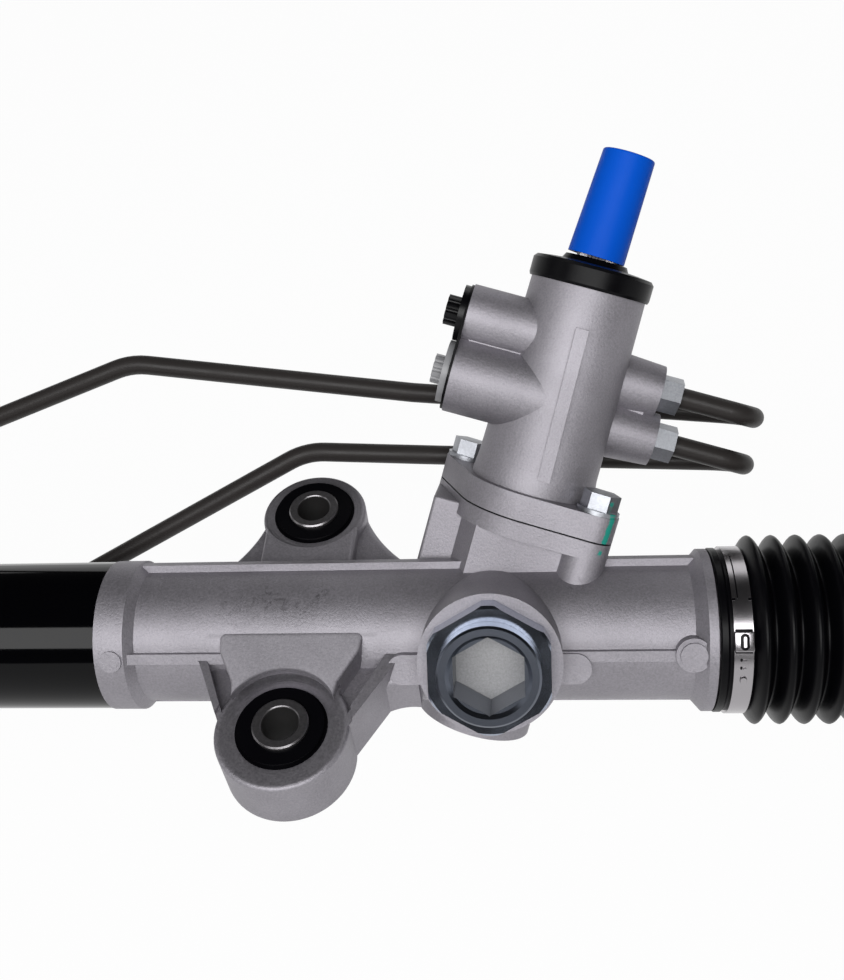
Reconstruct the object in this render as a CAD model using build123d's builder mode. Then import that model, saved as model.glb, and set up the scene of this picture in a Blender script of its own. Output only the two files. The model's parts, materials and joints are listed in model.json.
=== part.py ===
from build123d import *
import os
from math import acos, asin, atan, cos, degrees, pi, radians, sin, sqrt, tan

# Hydraulic rack-and-pinion steering gear.  Millimetres, +Z up, +X along the rack towards the
# pinion-side boot.  The origin lies midway between the two pinion-side mounting holes, on the
# plane that the mounting sleeves stand on.

# ---- driving dimensions ------------------------------------------------------------------
clearance = 0.03            # radial clearance of a seated or running fit
lap = 0.5                   # how far a boss starts inside the body it grows from

# mounting ears and bushes
bolt_spacing = 100.0        # between the two pinion-side mounting bolts
bolt_hole_r = 6.5
sleeve_r = 10.0
sleeve_proud = 3.1          # sleeve end beyond the ear face
rubber_r = 16.3
rubber_lip = 1.6            # height of the rubber bead over the ear face
ear_height = 23.0
front_ear_r = 23.8
rear_ear_r = 20.9
spot_face_r = 20.2
ear_top = 13.4              # ear face above the rack axis
web_front_top = 20.4        # top of the front web above the rack axis
web_rear_top = 15.6
web_half = 18.2

# rack axis and the two leaning axes
axis_height = ear_height - ear_top + sleeve_proud
guide_tilt = 53.5           # rack-guide axis from vertical, leaning to -Y
pinion_lean = 16.8          # pinion axis from square to the rack, leaning to +X
mesh_x = 72.2               # where the rack guide and the pinion face each other

# gear pair
pinion_teeth = 7
normal_module = 2.1
helix = 24.0
pressure = 25.0
pinion_tip_r = 10.2
pinion_root_r = 6.0
pinion_tooth = 4.2          # pinion tooth thickness on the pitch circle
backlash = 0.3
pinion_face = 32.0
rack_addendum = 1.5
rack_dedendum = 2.6
rack_pitch_depth = 7.454    # rack pitch plane below the rack axis
rack_grooves = 25

# rack and travel
rack_r = 14.0
travel = 70.0
stop_gap = 1.0

# cast rack housing
barrel_r = 25.3
barrel_bore_r = 15.5
collar_r = 28.6
collar_face = -73.0
collar_width = 11.0
collar_slope = 3.1
flange_r = 29.9
flange_face = 151.3
flange_width = 3.2
flange_slope = 4.0
spigot_r = 27.0
spigot_length = 17.2
parting_rib = 5.0           # width of the parting-line ribs
top_rib_r = 27.9
bottom_rib_r = 26.6
side_rib_r = 27.4
side_rib = 3.9

# steel cylinder
tube_r = 28.3
tube_bore_r = 23.5
tube_socket_r = 25.0
tube_socket_depth = 20.0
tube_end = -360.0
near_port_x = -112.0
far_port_x = -325.0
near_port_u = 8.5
far_port_u = 16.0
port_face = 34.0            # port faces behind the rack axis
port_boss_r = 8.5
inner_seal_x = -97.0
piston_x = -218.0
piston_width = 18.0

# rack guide
guide_boss_r = 25.3
guide_boss_face = 38.3
guide_bore_r = 15.0
plug_thread_r = 17.8
plug_proud = 5.8
lock_nut_flats = 42.0
lock_nut_height = 8.0
hex_key = 24.0

# pinion tower, measured along the pinion axis from the mesh point
tower_joint = 45.5
valve_flange_top = 55.5
valve_top = 135.0
valve_top_r = 21.5
valve_foot_r = 23.0
main_bearing_r = 19.0
sleeve_bore_r = 16.3
shaft_r = 9.5
spline_r = 7.6
shaft_end = 178.0
lower_boss_r = 22.5
lower_boss_e = 2.5          # the boss stands off its bore
lower_boss_end = 40.0
lower_bearing_r = 13.0
lower_journal_r = 7.5
bolt_offset_e = 25.5
bolt_offset_k = 21.0
bolt_shift_e = -1.3         # middle of the bolt pair from the pinion axis
bolt_lobe_r = 8.2
joint_r = 26.2              # round part of the tower joint
joint_shift_k = 1.5

# ports on the valve housing
feed_s = 111.5
feed_k = 5.0
feed_boss_r = 11.5
return_s = 89.5
return_k = 7.5
return_boss_r = 14.4
inlet_face = 40.4           # left boss faces from the pinion axis
far_line_s = 101.5
near_line_s = 83.5
line_boss_r = 10.0
line_face_far = 36.5
line_face_near = 39.5
line_k = -6.0
pipe_r = 4.0
pipe_nut_flats = 12.5
pipe_nut_length = 8.0

# boots and tie rods
boot_waves = 14
boot_pitch = 8.6
boot_crest_r = 34.7
boot_small_crest_r = 27.5
boot_depth = 7.5
boot_wall = 1.5
cuff_wall = 2.5
ball_r = 12.0
seat_wall = 2.0
ball_offset = 22.0          # ball centre beyond the rack end
socket_r = 18.0
neck_r = 5.5
rod_r = 7.5
rod_length = 265.0
rod_droop = 0.5             # degrees that each tie rod hangs below the rack axis

# ---- axes and planes ---------------------------------------------------------------------
X = Vector(1, 0, 0)
tilt = radians(guide_tilt)
lean = radians(pinion_lean)
U = Vector(0, cos(tilt), sin(tilt))         # square to the rack, along the casting's parting
K = Vector(0, -sin(tilt), cos(tilt))        # rack-guide axis, the casting's draw direction
rack_origin = Vector(0, 0, axis_height)
mesh_point = Vector(mesh_x, 0, axis_height)

transverse_module = normal_module / cos(radians(helix))
pinion_pitch_r = pinion_teeth * transverse_module / 2
centre_distance = rack_pitch_depth + pinion_pitch_r
S = X * sin(lean) + U * cos(lean)           # pinion axis, pointing out of the tower
E = X * cos(lean) - U * sin(lean)
pinion_origin = mesh_point - K * centre_distance

rack_axis = Axis(rack_origin, X)
pinion_axis = Axis(pinion_origin, S)
guide_axis = Axis(mesh_point, K)
rack_section = Plane(origin=rack_origin, x_dir=X, z_dir=K)          # (x, radius)
tower_section = Plane(origin=pinion_origin, x_dir=E, z_dir=K)       # (radius, s)
guide_section = Plane(origin=mesh_point, x_dir=X, z_dir=U * -1)     # (radius, k)


def across(x):
    """Plane square to the rack at x, with local axes U and K."""
    return Plane(origin=rack_origin + X * x, x_dir=U, z_dir=X)


def facing(k, x=0.0):
    """Plane square to the rack guide at height k, with local axes X and U."""
    return Plane(origin=rack_origin + X * x + K * k, x_dir=X, z_dir=K)


def tower(s):
    """Plane square to the pinion axis at s, with local axes K and E."""
    return Plane(origin=pinion_origin + S * s, x_dir=K, z_dir=S)


def sideways(s, k, e, sign=1):
    """Plane facing along E, or against it (local y then runs up the tower), local x along K."""
    return Plane(origin=pinion_origin + S * s + K * k + E * e, x_dir=K, z_dir=E * sign)


def level(height, x=0.0, y=0.0):
    """Horizontal plane at a height above the rack axis."""
    return Plane(origin=(x, y, axis_height + height), x_dir=(1, 0, 0), z_dir=(0, 0, 1))


def rack_point(x, u, k):
    """Point at x along the rack, u and k from the rack axis."""
    return rack_origin + X * x + U * u + K * k


def tower_point(s, k, e):
    """Point at s along the pinion axis, k and e from it."""
    return pinion_origin + S * s + K * k + E * e


def turned(section, axis, points, mode=Mode.ADD):
    """Revolve a closed outline about an axis."""
    with BuildSketch(section) as outline:
        with BuildLine():
            Polyline(*points, close=True)
        make_face()
    revolve(outline.sketch, axis=axis, mode=mode)


def rod(plane, radius, length, mode=Mode.ADD, draft=0.0):
    """Extrude a disc from a plane."""
    with BuildSketch(plane) as disc:
        Circle(radius)
    extrude(disc.sketch, amount=length, mode=mode, taper=draft)


def bar(plane, points, length, mode=Mode.ADD, both=False):
    """Extrude a closed outline from a plane."""
    with BuildSketch(plane) as outline:
        with BuildLine():
            Polyline(*points, close=True)
        make_face()
    extrude(outline.sketch, amount=length, mode=mode, both=both)


def rectangle(a0, a1, b0, b1):
    """Corners of a rectangle between two pairs of values."""
    return [(a0, b0), (a1, b0), (a1, b1), (a0, b1)]


def rounded(plane, points, length, corner, rim):
    """Cast boss: an outline with rounded corners and a rounded far rim, as a loose solid."""
    with BuildPart() as solid:
        with BuildSketch(plane) as outline:
            with BuildLine():
                Polyline(*points, close=True)
            make_face()
            fillet(outline.vertices(), corner)
        extrude(outline.sketch, amount=length)
        fillet(solid.faces().sort_by(Axis(plane.origin, plane.z_dir))[-1].edges(), rim)
    return solid.part


def drum(plane, radius, length, rim, both=False):
    """Round cast boss with a rounded far rim, as a loose solid."""
    with BuildPart() as solid:
        with BuildSketch(plane) as disc:
            Circle(radius)
        extrude(disc.sketch, amount=length)
        ends = solid.faces().filter_by(GeomType.PLANE).sort_by(Axis(plane.origin, plane.z_dir))
        fillet(ends[-1].edges(), rim)
        if both:
            fillet(ends[0].edges(), rim)
    return solid.part


def foot(plane, left, right, length, rim):
    """Web foot whose sides spread in two arcs along the barrel, as a loose solid."""
    with BuildPart() as solid:
        with BuildSketch(plane) as outline:
            with BuildLine():
                ThreePointArc(*left)
                ThreePointArc(*right)
                Polyline(left[2], (left[2][0], 0), (right[2][0], 0), right[2])
                Line(left[0], right[0])
            make_face()
        extrude(outline.sketch, amount=length)
        top = solid.faces().sort_by(Axis(plane.origin, plane.z_dir))[-1]
        fillet(top.edges().filter_by(GeomType.CIRCLE), rim)
    return solid.part


def hexagon(plane, flats, length, turn=0.0):
    """Extrude a hexagon given across its flats."""
    with BuildSketch(plane) as outline:
        RegularPolygon(flats / 2, 6, major_radius=False, rotation=turn)
    extrude(outline.sketch, amount=length)


os.makedirs("parts", exist_ok=True)

# ---- cast rack housing -------------------------------------------------------------------
bolt_spots = [(bolt_offset_k, bolt_shift_e + bolt_offset_e), (-bolt_offset_k, bolt_shift_e - bolt_offset_e)]
spigot_end = flange_face + spigot_length
ear_bottom = ear_top - ear_height
half = bolt_spacing / 2
side_rib_u = -1.2
rib_stop = 60.0             # side rib stops this far before the guide
web_foot = ear_bottom + 2    # underside of the webs
base_floor = 12.0
joint_plate = 6.5
wall_front = 22.0           # flat front wall of the tower base
tab_u = -5.3
tab_r = 5.6
tab_face = 28.6
block_left = -35.0
block_right = -16.8
block_front = 9.0
block_back = -26.0
block_drop = 2.2            # top of the block below the joint
front_foot = [((-22.6, -54), (-26.5, -38), (-35, -15)), ((23.2, -52), (26.8, -37), (46, -28.6))]
rear_foot = [((-20.0, 54), (-24.5, 40), (-38, 22)), ((20.0, 54), (27.5, 40), (48, 22))]
front_foot_height = 17.5
rear_foot_height = 16.0
foot_round = 3.0
ear_round = 1.5
ear_ribs = [[(-40.0, -17), (-33.5, -24), (-22.8, -half + 2), (-20.4, -half + 2), (-30.5, -24), (-34.5, -17)],
            [(42.5, -17), (23.6, -half + 1), (20.4, -half + 1), (36, -17)]]
ear_rib_height = 22.5
rear_bolt_boss_foot = 16.0
bolt_r = 4.0
bolt_hole_depth = 21.0
plug_thread_depth = 19.0
pinion_room_r = 12.5
pinion_room = 18.0
bearing_seat = 18.6
spot_clearance = 3.2         # height of the cut that frees the front ear's face
tab_left = mesh_x - 31.6
tab_right = mesh_x + 29.8
corner_round = 2.5
web_round = 1.6
front_web = [(-26.5, -14), (26.5, -14), (25.5, -22), (19, -35), (17.5, -45),
             (-17.5, -45), (-19, -35), (-25.5, -22)]

pads = [(collar_face + 6.4, -1.45, 4.0, collar_r + 0.7), (flange_face - 8.4, -0.6, 4.7, flange_r - 0.3),
        (flange_face - 8.4, -0.6, 6.2, flange_r - 1.3)]

with BuildPart() as rack_housing:
    rod(across(collar_face), barrel_r, flange_face - collar_face)
    rod(across(collar_face), collar_r, collar_width)
    rod(across(flange_face - flange_width), flange_r, flange_width)
    # slopes from the collar and the end flange down to the barrel
    slope_from = collar_face + collar_width
    turned(rack_section, rack_axis,
           [(slope_from - lap, 0), (slope_from - lap, collar_r), (slope_from, collar_r),
            (slope_from + collar_slope, barrel_r), (slope_from + collar_slope, 0)])
    slope_from = flange_face - flange_width
    turned(rack_section, rack_axis,
           [(slope_from + lap, 0), (slope_from + lap, flange_r), (slope_from, flange_r),
            (slope_from - flange_slope, barrel_r), (slope_from - flange_slope, 0)])
    rod(across(flange_face), spigot_r, spigot_length)
    # parting-line ribs along the barrel
    rib = parting_rib / 2
    bar(across(collar_face + 1), rectangle(0, top_rib_r, -rib, rib), flange_face - collar_face - 2)
    bar(across(collar_face + 1), rectangle(-bottom_rib_r, 0, -rib, rib), flange_face - collar_face - 2)
    side = side_rib / 2
    bar(across(collar_face + 1), rectangle(side_rib_u - side, side_rib_u + side, 0, side_rib_r),
        mesh_x - collar_face - rib_stop)
    bar(across(mesh_x), rectangle(side_rib_u - side, side_rib_u + side, 0, side_rib_r),
        flange_face - mesh_x - 2 * parting_rib)
    # ejector-pin pads at both ends of the side ribs
    for x, u, radius, top in pads:
        with BuildSketch(facing(0)) as pad:
            with Locations((x, u)):
                Circle(radius)
        extrude(pad.sketch, amount=top)

    # front and rear ears with their webs
    add(drum(level(ear_bottom, 0, -half), front_ear_r, ear_height, ear_round, both=True))
    add(drum(level(ear_bottom, 0, half), rear_ear_r, ear_height, ear_round, both=True))
    add(rounded(level(web_foot), front_web, web_front_top - web_foot, corner_round, web_round))
    add(rounded(level(web_foot), rectangle(-web_half, web_half, 8, half - 4),
                web_rear_top - web_foot, corner_round, web_round))
    # curved feet that spread from the ears along the barrel
    add(foot(level(web_foot), *front_foot, front_foot_height, foot_round))
    add(foot(level(web_foot), *rear_foot, rear_foot_height, foot_round))
    # parting ribs running down from the side rib to the front ear
    for outline in ear_ribs:
        bar(level(web_foot), outline, ear_rib_height)

    # rack-guide boss with its two tabs
    rod(facing(0, mesh_x), guide_boss_r, guide_boss_face)
    for end_x in (tab_left, tab_right):
        with BuildSketch(facing(0)) as tab:
            with Locations(((end_x + mesh_x) / 2, tab_u)):
                SlotOverall(abs(end_x - mesh_x) + 2 * tab_r, 2 * tab_r)
        extrude(tab.sketch, amount=tab_face)

    # pinion tower: lower bearing boss, base, joint flange, block and bolt bosses
    with BuildSketch(tower(-lower_boss_end)) as lower_boss:
        with Locations((0, lower_boss_e)):
            Circle(lower_boss_r)
    extrude(lower_boss.sketch, amount=lower_boss_end)
    rod(tower(0), wall_front, tower_joint)
    with BuildSketch(tower(tower_joint)) as joint_outline:
        with BuildLine() as joint_edges:
            CenterArc((joint_shift_k, 0), joint_r, 0, 360)
            for spot in bolt_spots:
                CenterArc(spot, bolt_lobe_r, 0, 360)
        make_hull(joint_edges.edges())
    extrude(joint_outline.sketch, amount=-joint_plate)
    for spot in bolt_spots:
        with BuildSketch(tower(tower_joint)) as bolt_boss:
            with Locations(spot):
                Circle(bolt_lobe_r)
        extrude(bolt_boss.sketch, amount=rear_bolt_boss_foot - tower_joint)
    add(rounded(tower(base_floor), rectangle(block_back, block_front, block_left, block_right),
                tower_joint - block_drop - base_floor, 1.5, 1.0))
    bar(tower(base_floor), [(0, block_left + 8), (wall_front, block_right), (wall_front, bolt_offset_e - 6),
                            (block_back, bolt_offset_e - 12), (block_back, block_left + 8)],
        tower_joint - joint_plate - base_floor + lap)

    # bores
    rod(across(collar_face - 1), barrel_bore_r, spigot_end - collar_face + 2, mode=Mode.SUBTRACT)
    rod(across(collar_face), tube_socket_r + clearance, tube_socket_depth, mode=Mode.SUBTRACT)
    rod(facing(0, mesh_x), guide_bore_r, guide_boss_face + 1, mode=Mode.SUBTRACT)
    rod(facing(guide_boss_face - plug_thread_depth, mesh_x), plug_thread_r + clearance,
        plug_thread_depth + 1, mode=Mode.SUBTRACT)
    rod(tower(-lower_boss_end - 1), lower_bearing_r + clearance, lower_boss_end + 1, mode=Mode.SUBTRACT)
    rod(tower(-pinion_room), pinion_room_r, 2 * pinion_room + 1, mode=Mode.SUBTRACT)
    rod(tower(bearing_seat), main_bearing_r + clearance, tower_joint - bearing_seat + 3,
        mode=Mode.SUBTRACT)
    for spot in bolt_spots:
        with BuildSketch(tower(tower_joint)) as bolt_hole:
            with Locations(spot):
                Circle(bolt_r + clearance)
        extrude(bolt_hole.sketch, amount=-bolt_hole_depth, mode=Mode.SUBTRACT)
    # bush bores and the spot faces milled round them
    for y, face_r in ((-half, spot_face_r), (half, spot_face_r)):
        rod(level(ear_bottom - 1, 0, y), rubber_r, ear_height + 2, mode=Mode.SUBTRACT)
        rod(level(ear_top, 0, y), face_r, ear_height, mode=Mode.SUBTRACT)
    rod(level(ear_top, 0, -half), front_ear_r + 1, spot_clearance, mode=Mode.SUBTRACT)

rack_housing.part.label = "rack_housing"
export_step(rack_housing.part, "parts/rack_housing.step")

# ---- steel cylinder, its stopper and the far bracket -------------------------------------
cuff_seat = 18.0
cuff_seat_r = 27.0
port_thread_r = 6.0
port_depth = 9.0
ports = [(near_port_x, near_port_u), (far_port_x, far_port_u)]
bracket_x = -270.0
bracket_width = 40.0
bracket_wall = 4.0
stopper_width = 24.0
bush_wall = 1.9
bush_width = 20.0
seal_width = 12.0

with BuildPart() as cylinder_tube:
    rod(across(collar_face), tube_socket_r, tube_socket_depth - clearance)
    rod(across(tube_end + cuff_seat), tube_r, collar_face - tube_end - cuff_seat)
    rod(across(tube_end), cuff_seat_r, cuff_seat)
    for x, u in ports:
        with BuildSketch(facing(-port_face)) as port_boss:
            with Locations((x, u)):
                Circle(port_boss_r)
        extrude(port_boss.sketch, amount=port_face / 2)
    rod(across(tube_end - 1), tube_bore_r, tube_socket_depth - tube_end + 2, mode=Mode.SUBTRACT)
    for x, u in ports:
        with BuildSketch(facing(-port_face)) as port_thread:
            with Locations((x, u)):
                Circle(port_thread_r + clearance)
        extrude(port_thread.sketch, amount=port_depth, mode=Mode.SUBTRACT)
        with BuildSketch(facing(-port_face)) as port_drilling:
            with Locations((x, u)):
                Circle(pipe_r / 2)
        extrude(port_drilling.sketch, amount=port_face / 2, mode=Mode.SUBTRACT)

cylinder_tube.part.label = "cylinder_tube"
export_step(cylinder_tube.part, "parts/cylinder_tube.step")

with BuildPart() as far_bracket:
    rod(across(bracket_x - bracket_width / 2), tube_r + bracket_wall, bracket_width)
    rod(level(ear_bottom, bracket_x, -half), rear_ear_r, ear_height)
    bar(level(ear_bottom + 2, bracket_x), rectangle(-web_half, web_half, 10 - half, -15), ear_height)
    rod(across(bracket_x - bracket_width), tube_r + clearance, 2 * bracket_width, mode=Mode.SUBTRACT)
    rod(level(ear_bottom - 1, bracket_x, -half), rubber_r, ear_height + 2, mode=Mode.SUBTRACT)
    rod(level(ear_top, bracket_x, -half), rear_ear_r + 1, ear_height, mode=Mode.SUBTRACT)

far_bracket.part.label = "far_bracket"
export_step(far_bracket.part, "parts/far_bracket.step")

with BuildPart() as end_stopper:
    rod(across(tube_end), tube_bore_r - clearance, stopper_width)
    rod(across(tube_end - 1), rack_r + bush_wall, stopper_width + 2, mode=Mode.SUBTRACT)

end_stopper.part.label = "end_stopper"
export_step(end_stopper.part, "parts/end_stopper.step")

with BuildPart() as rack_bushes:
    for x, outer_r in ((tube_end + 2, rack_r + bush_wall), (flange_face - 4, barrel_bore_r)):
        rod(across(x), outer_r - clearance, bush_width)
        rod(across(x - 1), rack_r + clearance, bush_width + 2, mode=Mode.SUBTRACT)

rack_bushes.part.label = "rack_bushes"
export_step(rack_bushes.part, "parts/rack_bushes.step")

with BuildPart() as rack_seal:
    rod(across(inner_seal_x), tube_bore_r - clearance, seal_width)
    rod(across(inner_seal_x - 1), rack_r + clearance, seal_width + 2, mode=Mode.SUBTRACT)

rack_seal.part.label = "rack_seal"
export_step(rack_seal.part, "parts/rack_seal.step")

# ---- mounting bushes ---------------------------------------------------------------------
bush_spots = [(0, -half), (0, half), (bracket_x, -half)]
sleeve_chamfer = 0.5

with BuildPart() as bush_rubbers:
    for x, y in bush_spots:
        rod(level(ear_bottom, x, y), rubber_r - clearance, ear_height)
        rod(level(ear_bottom - rubber_lip, x, y), rubber_r - 1.0, ear_height + 2 * rubber_lip)
        rod(level(ear_bottom - sleeve_proud, x, y), sleeve_r, 2 * ear_height, mode=Mode.SUBTRACT)

bush_rubbers.part.label = "bush_rubbers"
export_step(bush_rubbers.part, "parts/bush_rubbers.step")

with BuildPart() as bush_sleeves:
    for x, y in bush_spots:
        rod(level(ear_bottom - sleeve_proud, x, y), sleeve_r - clearance, ear_height + 2 * sleeve_proud)
        rod(level(ear_bottom - ear_height, x, y), bolt_hole_r, 3 * ear_height, mode=Mode.SUBTRACT)
    top_rims = bush_sleeves.edges().filter_by(GeomType.CIRCLE).group_by(Axis.Z)[-1]
    chamfer(top_rims, sleeve_chamfer)

bush_sleeves.part.label = "bush_sleeves"
export_step(bush_sleeves.part, "parts/bush_sleeves.step")

# ---- rack guide --------------------------------------------------------------------------
guide_back = 30.0
liner_wall = 1.0
guide_reach = 20.0
spring_pocket = 10.0
spring_pocket_r = 7.0
spring_inner_r = 8.0
spring_outer_r = 14.0
spring_leaf = 1.2
spring_height = 2.2
plug_top = guide_boss_face + lock_nut_height + plug_proud
plug_bottom = guide_back + spring_height
plug_floor = 2.6
socket_mouth_r = 14.6
socket_lead = 1.3           # depth of the lead-in cone

with BuildPart() as rack_guide:
    rod(facing(2, mesh_x), guide_bore_r - clearance, guide_back - 2)
    rod(across(mesh_x - guide_reach), rack_r + liner_wall, 2 * guide_reach, mode=Mode.SUBTRACT)
    rod(facing(guide_back - spring_pocket, mesh_x), spring_pocket_r, spring_pocket + 1, mode=Mode.SUBTRACT)

rack_guide.part.label = "rack_guide"
export_step(rack_guide.part, "parts/rack_guide.step")

with BuildPart() as guide_liner:
    rod(facing(8, mesh_x), guide_bore_r - 3, 8)
    with BuildSketch(across(mesh_x)) as saddle_ring:
        Circle(rack_r + liner_wall - clearance)
        Circle(rack_r + clearance, mode=Mode.SUBTRACT)
    extrude(saddle_ring.sketch, amount=guide_reach, both=True, mode=Mode.INTERSECT)

guide_liner.part.label = "guide_liner"
export_step(guide_liner.part, "parts/guide_liner.step")

with BuildPart() as guide_spring:
    turned(guide_section, guide_axis,
           [(spring_inner_r, guide_back), (spring_outer_r, guide_back + spring_height - spring_leaf),
            (spring_outer_r, guide_back + spring_height), (spring_inner_r, guide_back + spring_leaf)])

guide_spring.part.label = "guide_spring"
export_step(guide_spring.part, "parts/guide_spring.step")

with BuildPart() as guide_plug:
    rod(facing(plug_bottom, mesh_x), plug_thread_r, plug_top - plug_bottom)
    chamfer(guide_plug.edges().filter_by(GeomType.CIRCLE), 0.8)
    turned(guide_section, guide_axis,
           [(0, plug_top - socket_lead), (socket_mouth_r - socket_lead, plug_top - socket_lead),
            (socket_mouth_r + lap, plug_top + lap), (0, plug_top + lap)], mode=Mode.SUBTRACT)
    with BuildSketch(facing(plug_bottom + plug_floor, mesh_x)) as socket:
        RegularPolygon(hex_key / 2, 6, major_radius=False, rotation=30)
    extrude(socket.sketch, amount=plug_top, mode=Mode.SUBTRACT)

guide_plug.part.label = "guide_plug"
export_step(guide_plug.part, "parts/guide_plug.step")

nut_bevel = 0.9
nut_corner_r = 0.95 * lock_nut_flats / sqrt(3)

with BuildPart() as guide_lock_nut:
    hexagon(facing(guide_boss_face, mesh_x), lock_nut_flats, lock_nut_height, turn=30)
    turned(guide_section, guide_axis,
           [(0, guide_boss_face), (nut_corner_r, guide_boss_face),
            (nut_corner_r, guide_boss_face + lock_nut_height - nut_bevel),
            (nut_corner_r - nut_bevel, guide_boss_face + lock_nut_height),
            (0, guide_boss_face + lock_nut_height)],
           mode=Mode.INTERSECT)
    rod(facing(0, mesh_x), plug_thread_r + clearance, plug_top, mode=Mode.SUBTRACT)

guide_lock_nut.part.label = "guide_lock_nut"
export_step(guide_lock_nut.part, "parts/guide_lock_nut.step")

# ---- pinion group ------------------------------------------------------------------------
transverse_pressure = atan(tan(radians(pressure)) / cos(radians(helix)))
base_r = pinion_pitch_r * cos(transverse_pressure)
twist = degrees(pinion_face * tan(radians(helix)) / pinion_pitch_r)
collar_top = 54.0
pinion_collar_r = 13.0
collar_bottom = 31.0
bearing_bottom = 19.0
counterbore = 42.0
bottom_cap_height = 4.0
pinion_nut_height = 4.0
pinion_nut_flats = 19.0
journal_end = lower_boss_end - bottom_cap_height - 0.8
bearing_foot = journal_end - pinion_nut_height
lower_bearing_height = 10.0
bar_r = 3.0
bar_bottom = 24.0


def involute(angle):
    return tan(angle) - angle


def half_tooth(radius):
    """Half the angle that one pinion tooth fills at a radius."""
    middle = pinion_tooth / (2 * pinion_pitch_r) + involute(transverse_pressure)
    return middle - involute(acos(min(1.0, base_r / radius)))


def tooth_point(radius, angle):
    return (radius * cos(angle), radius * sin(angle))


with BuildPart() as pinion:
    with BuildSketch(tower(-pinion_face / 2)) as tooth_ring:
        with BuildLine():
            pitch_angle = 2 * pi / pinion_teeth
            middle_r = (base_r + pinion_tip_r) / 2
            low = half_tooth(base_r)
            mid = half_tooth(middle_r)
            tip = half_tooth(pinion_tip_r)
            for tooth in range(pinion_teeth):
                at = tooth * pitch_angle + radians(twist) / 2
                Line(tooth_point(pinion_root_r, at - low), tooth_point(base_r, at - low))
                ThreePointArc(tooth_point(base_r, at - low), tooth_point(middle_r, at - mid),
                              tooth_point(pinion_tip_r, at - tip))
                ThreePointArc(tooth_point(pinion_tip_r, at - tip), tooth_point(pinion_tip_r, at),
                              tooth_point(pinion_tip_r, at + tip))
                ThreePointArc(tooth_point(pinion_tip_r, at + tip), tooth_point(middle_r, at + mid),
                              tooth_point(base_r, at + low))
                Line(tooth_point(base_r, at + low), tooth_point(pinion_root_r, at + low))
                ThreePointArc(tooth_point(pinion_root_r, at + low),
                              tooth_point(pinion_root_r, at + pitch_angle / 2),
                              tooth_point(pinion_root_r, at + pitch_angle - low))
        make_face()
    add(Solid.extrude_linear_with_rotation(tooth_ring.sketch.faces()[0], tower_point(-pinion_face / 2, 0, 0),
                                           S * pinion_face, -twist))
    rod(tower(-journal_end), lower_journal_r, journal_end - pinion_face / 2 + lap)
    rod(tower(pinion_face / 2 - lap), shaft_r - 0.5, collar_top - pinion_face / 2 + lap)
    turned(tower_section, pinion_axis,
           rectangle(0, pinion_collar_r, collar_bottom, collar_top))
    rod(tower(counterbore), shaft_r + 0.1, collar_top, mode=Mode.SUBTRACT)
    rod(tower(bar_bottom), bar_r + clearance, collar_top, mode=Mode.SUBTRACT)

pinion.part.label = "pinion"
export_step(pinion.part, "parts/pinion.step")

with BuildPart() as lower_bearing:
    rod(tower(-bearing_foot), lower_bearing_r, lower_bearing_height)
    rod(tower(-bearing_foot - 1), lower_journal_r + clearance, lower_bearing_height + 2, mode=Mode.SUBTRACT)

lower_bearing.part.label = "lower_bearing"
export_step(lower_bearing.part, "parts/lower_bearing.step")

with BuildPart() as pinion_nut:
    hexagon(tower(-journal_end), pinion_nut_flats, pinion_nut_height)
    rod(tower(-journal_end - 1), lower_journal_r + clearance, pinion_nut_height + 2, mode=Mode.SUBTRACT)

pinion_nut.part.label = "pinion_nut"
export_step(pinion_nut.part, "parts/pinion_nut.step")

with BuildPart() as bottom_cap:
    rod(tower(-lower_boss_end), lower_bearing_r, bottom_cap_height)

bottom_cap.part.label = "bottom_cap"
export_step(bottom_cap.part, "parts/bottom_cap.step")

with BuildPart() as main_bearing:
    rod(tower(bearing_bottom), main_bearing_r, collar_bottom - bearing_bottom)
    rod(tower(bearing_bottom - 1), shaft_r - 0.5 + clearance, collar_bottom - bearing_bottom + 2,
        mode=Mode.SUBTRACT)

main_bearing.part.label = "main_bearing"
export_step(main_bearing.part, "parts/main_bearing.step")

bar_top = 172.0
shaft_shoulder = valve_top + 7.4
bar_grip = 160.0

with BuildPart() as torsion_bar:
    rod(tower(bar_bottom), bar_r, bar_top - bar_bottom)

torsion_bar.part.label = "torsion_bar"
export_step(torsion_bar.part, "parts/torsion_bar.step")

serrations = 36
serration_depth = 0.6
clamp_groove = 158.0        # start of the groove for the column's clamp bolt

with BuildPart() as input_shaft:
    rod(tower(counterbore + 0.5), shaft_r, shaft_shoulder - counterbore - 0.5)
    with BuildSketch(tower(shaft_shoulder)) as spline:
        with BuildLine():
            step = pi / serrations
            Polyline(*[tooth_point(spline_r - serration_depth * (i % 2), i * step)
                       for i in range(2 * serrations)], close=True)
        make_face()
    extrude(spline.sketch, amount=shaft_end - shaft_shoulder)
    turned(tower_section, pinion_axis,
           rectangle(spline_r - 1.8, spline_r + 1, clamp_groove, clamp_groove + 6), mode=Mode.SUBTRACT)
    rod(tower(counterbore), bar_r + 0.8, bar_grip - counterbore, mode=Mode.SUBTRACT)
    rod(tower(counterbore), bar_r + clearance, shaft_end, mode=Mode.SUBTRACT)

input_shaft.part.label = "input_shaft"
export_step(input_shaft.part, "parts/input_shaft.step")

valve_sleeve_r = 16.0
sleeve_end = 112.0
ring_groove_r = 14.9
ring_spots = [60.0, 74.0, 88.0, 102.0]
ring_width = 3.0

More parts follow.
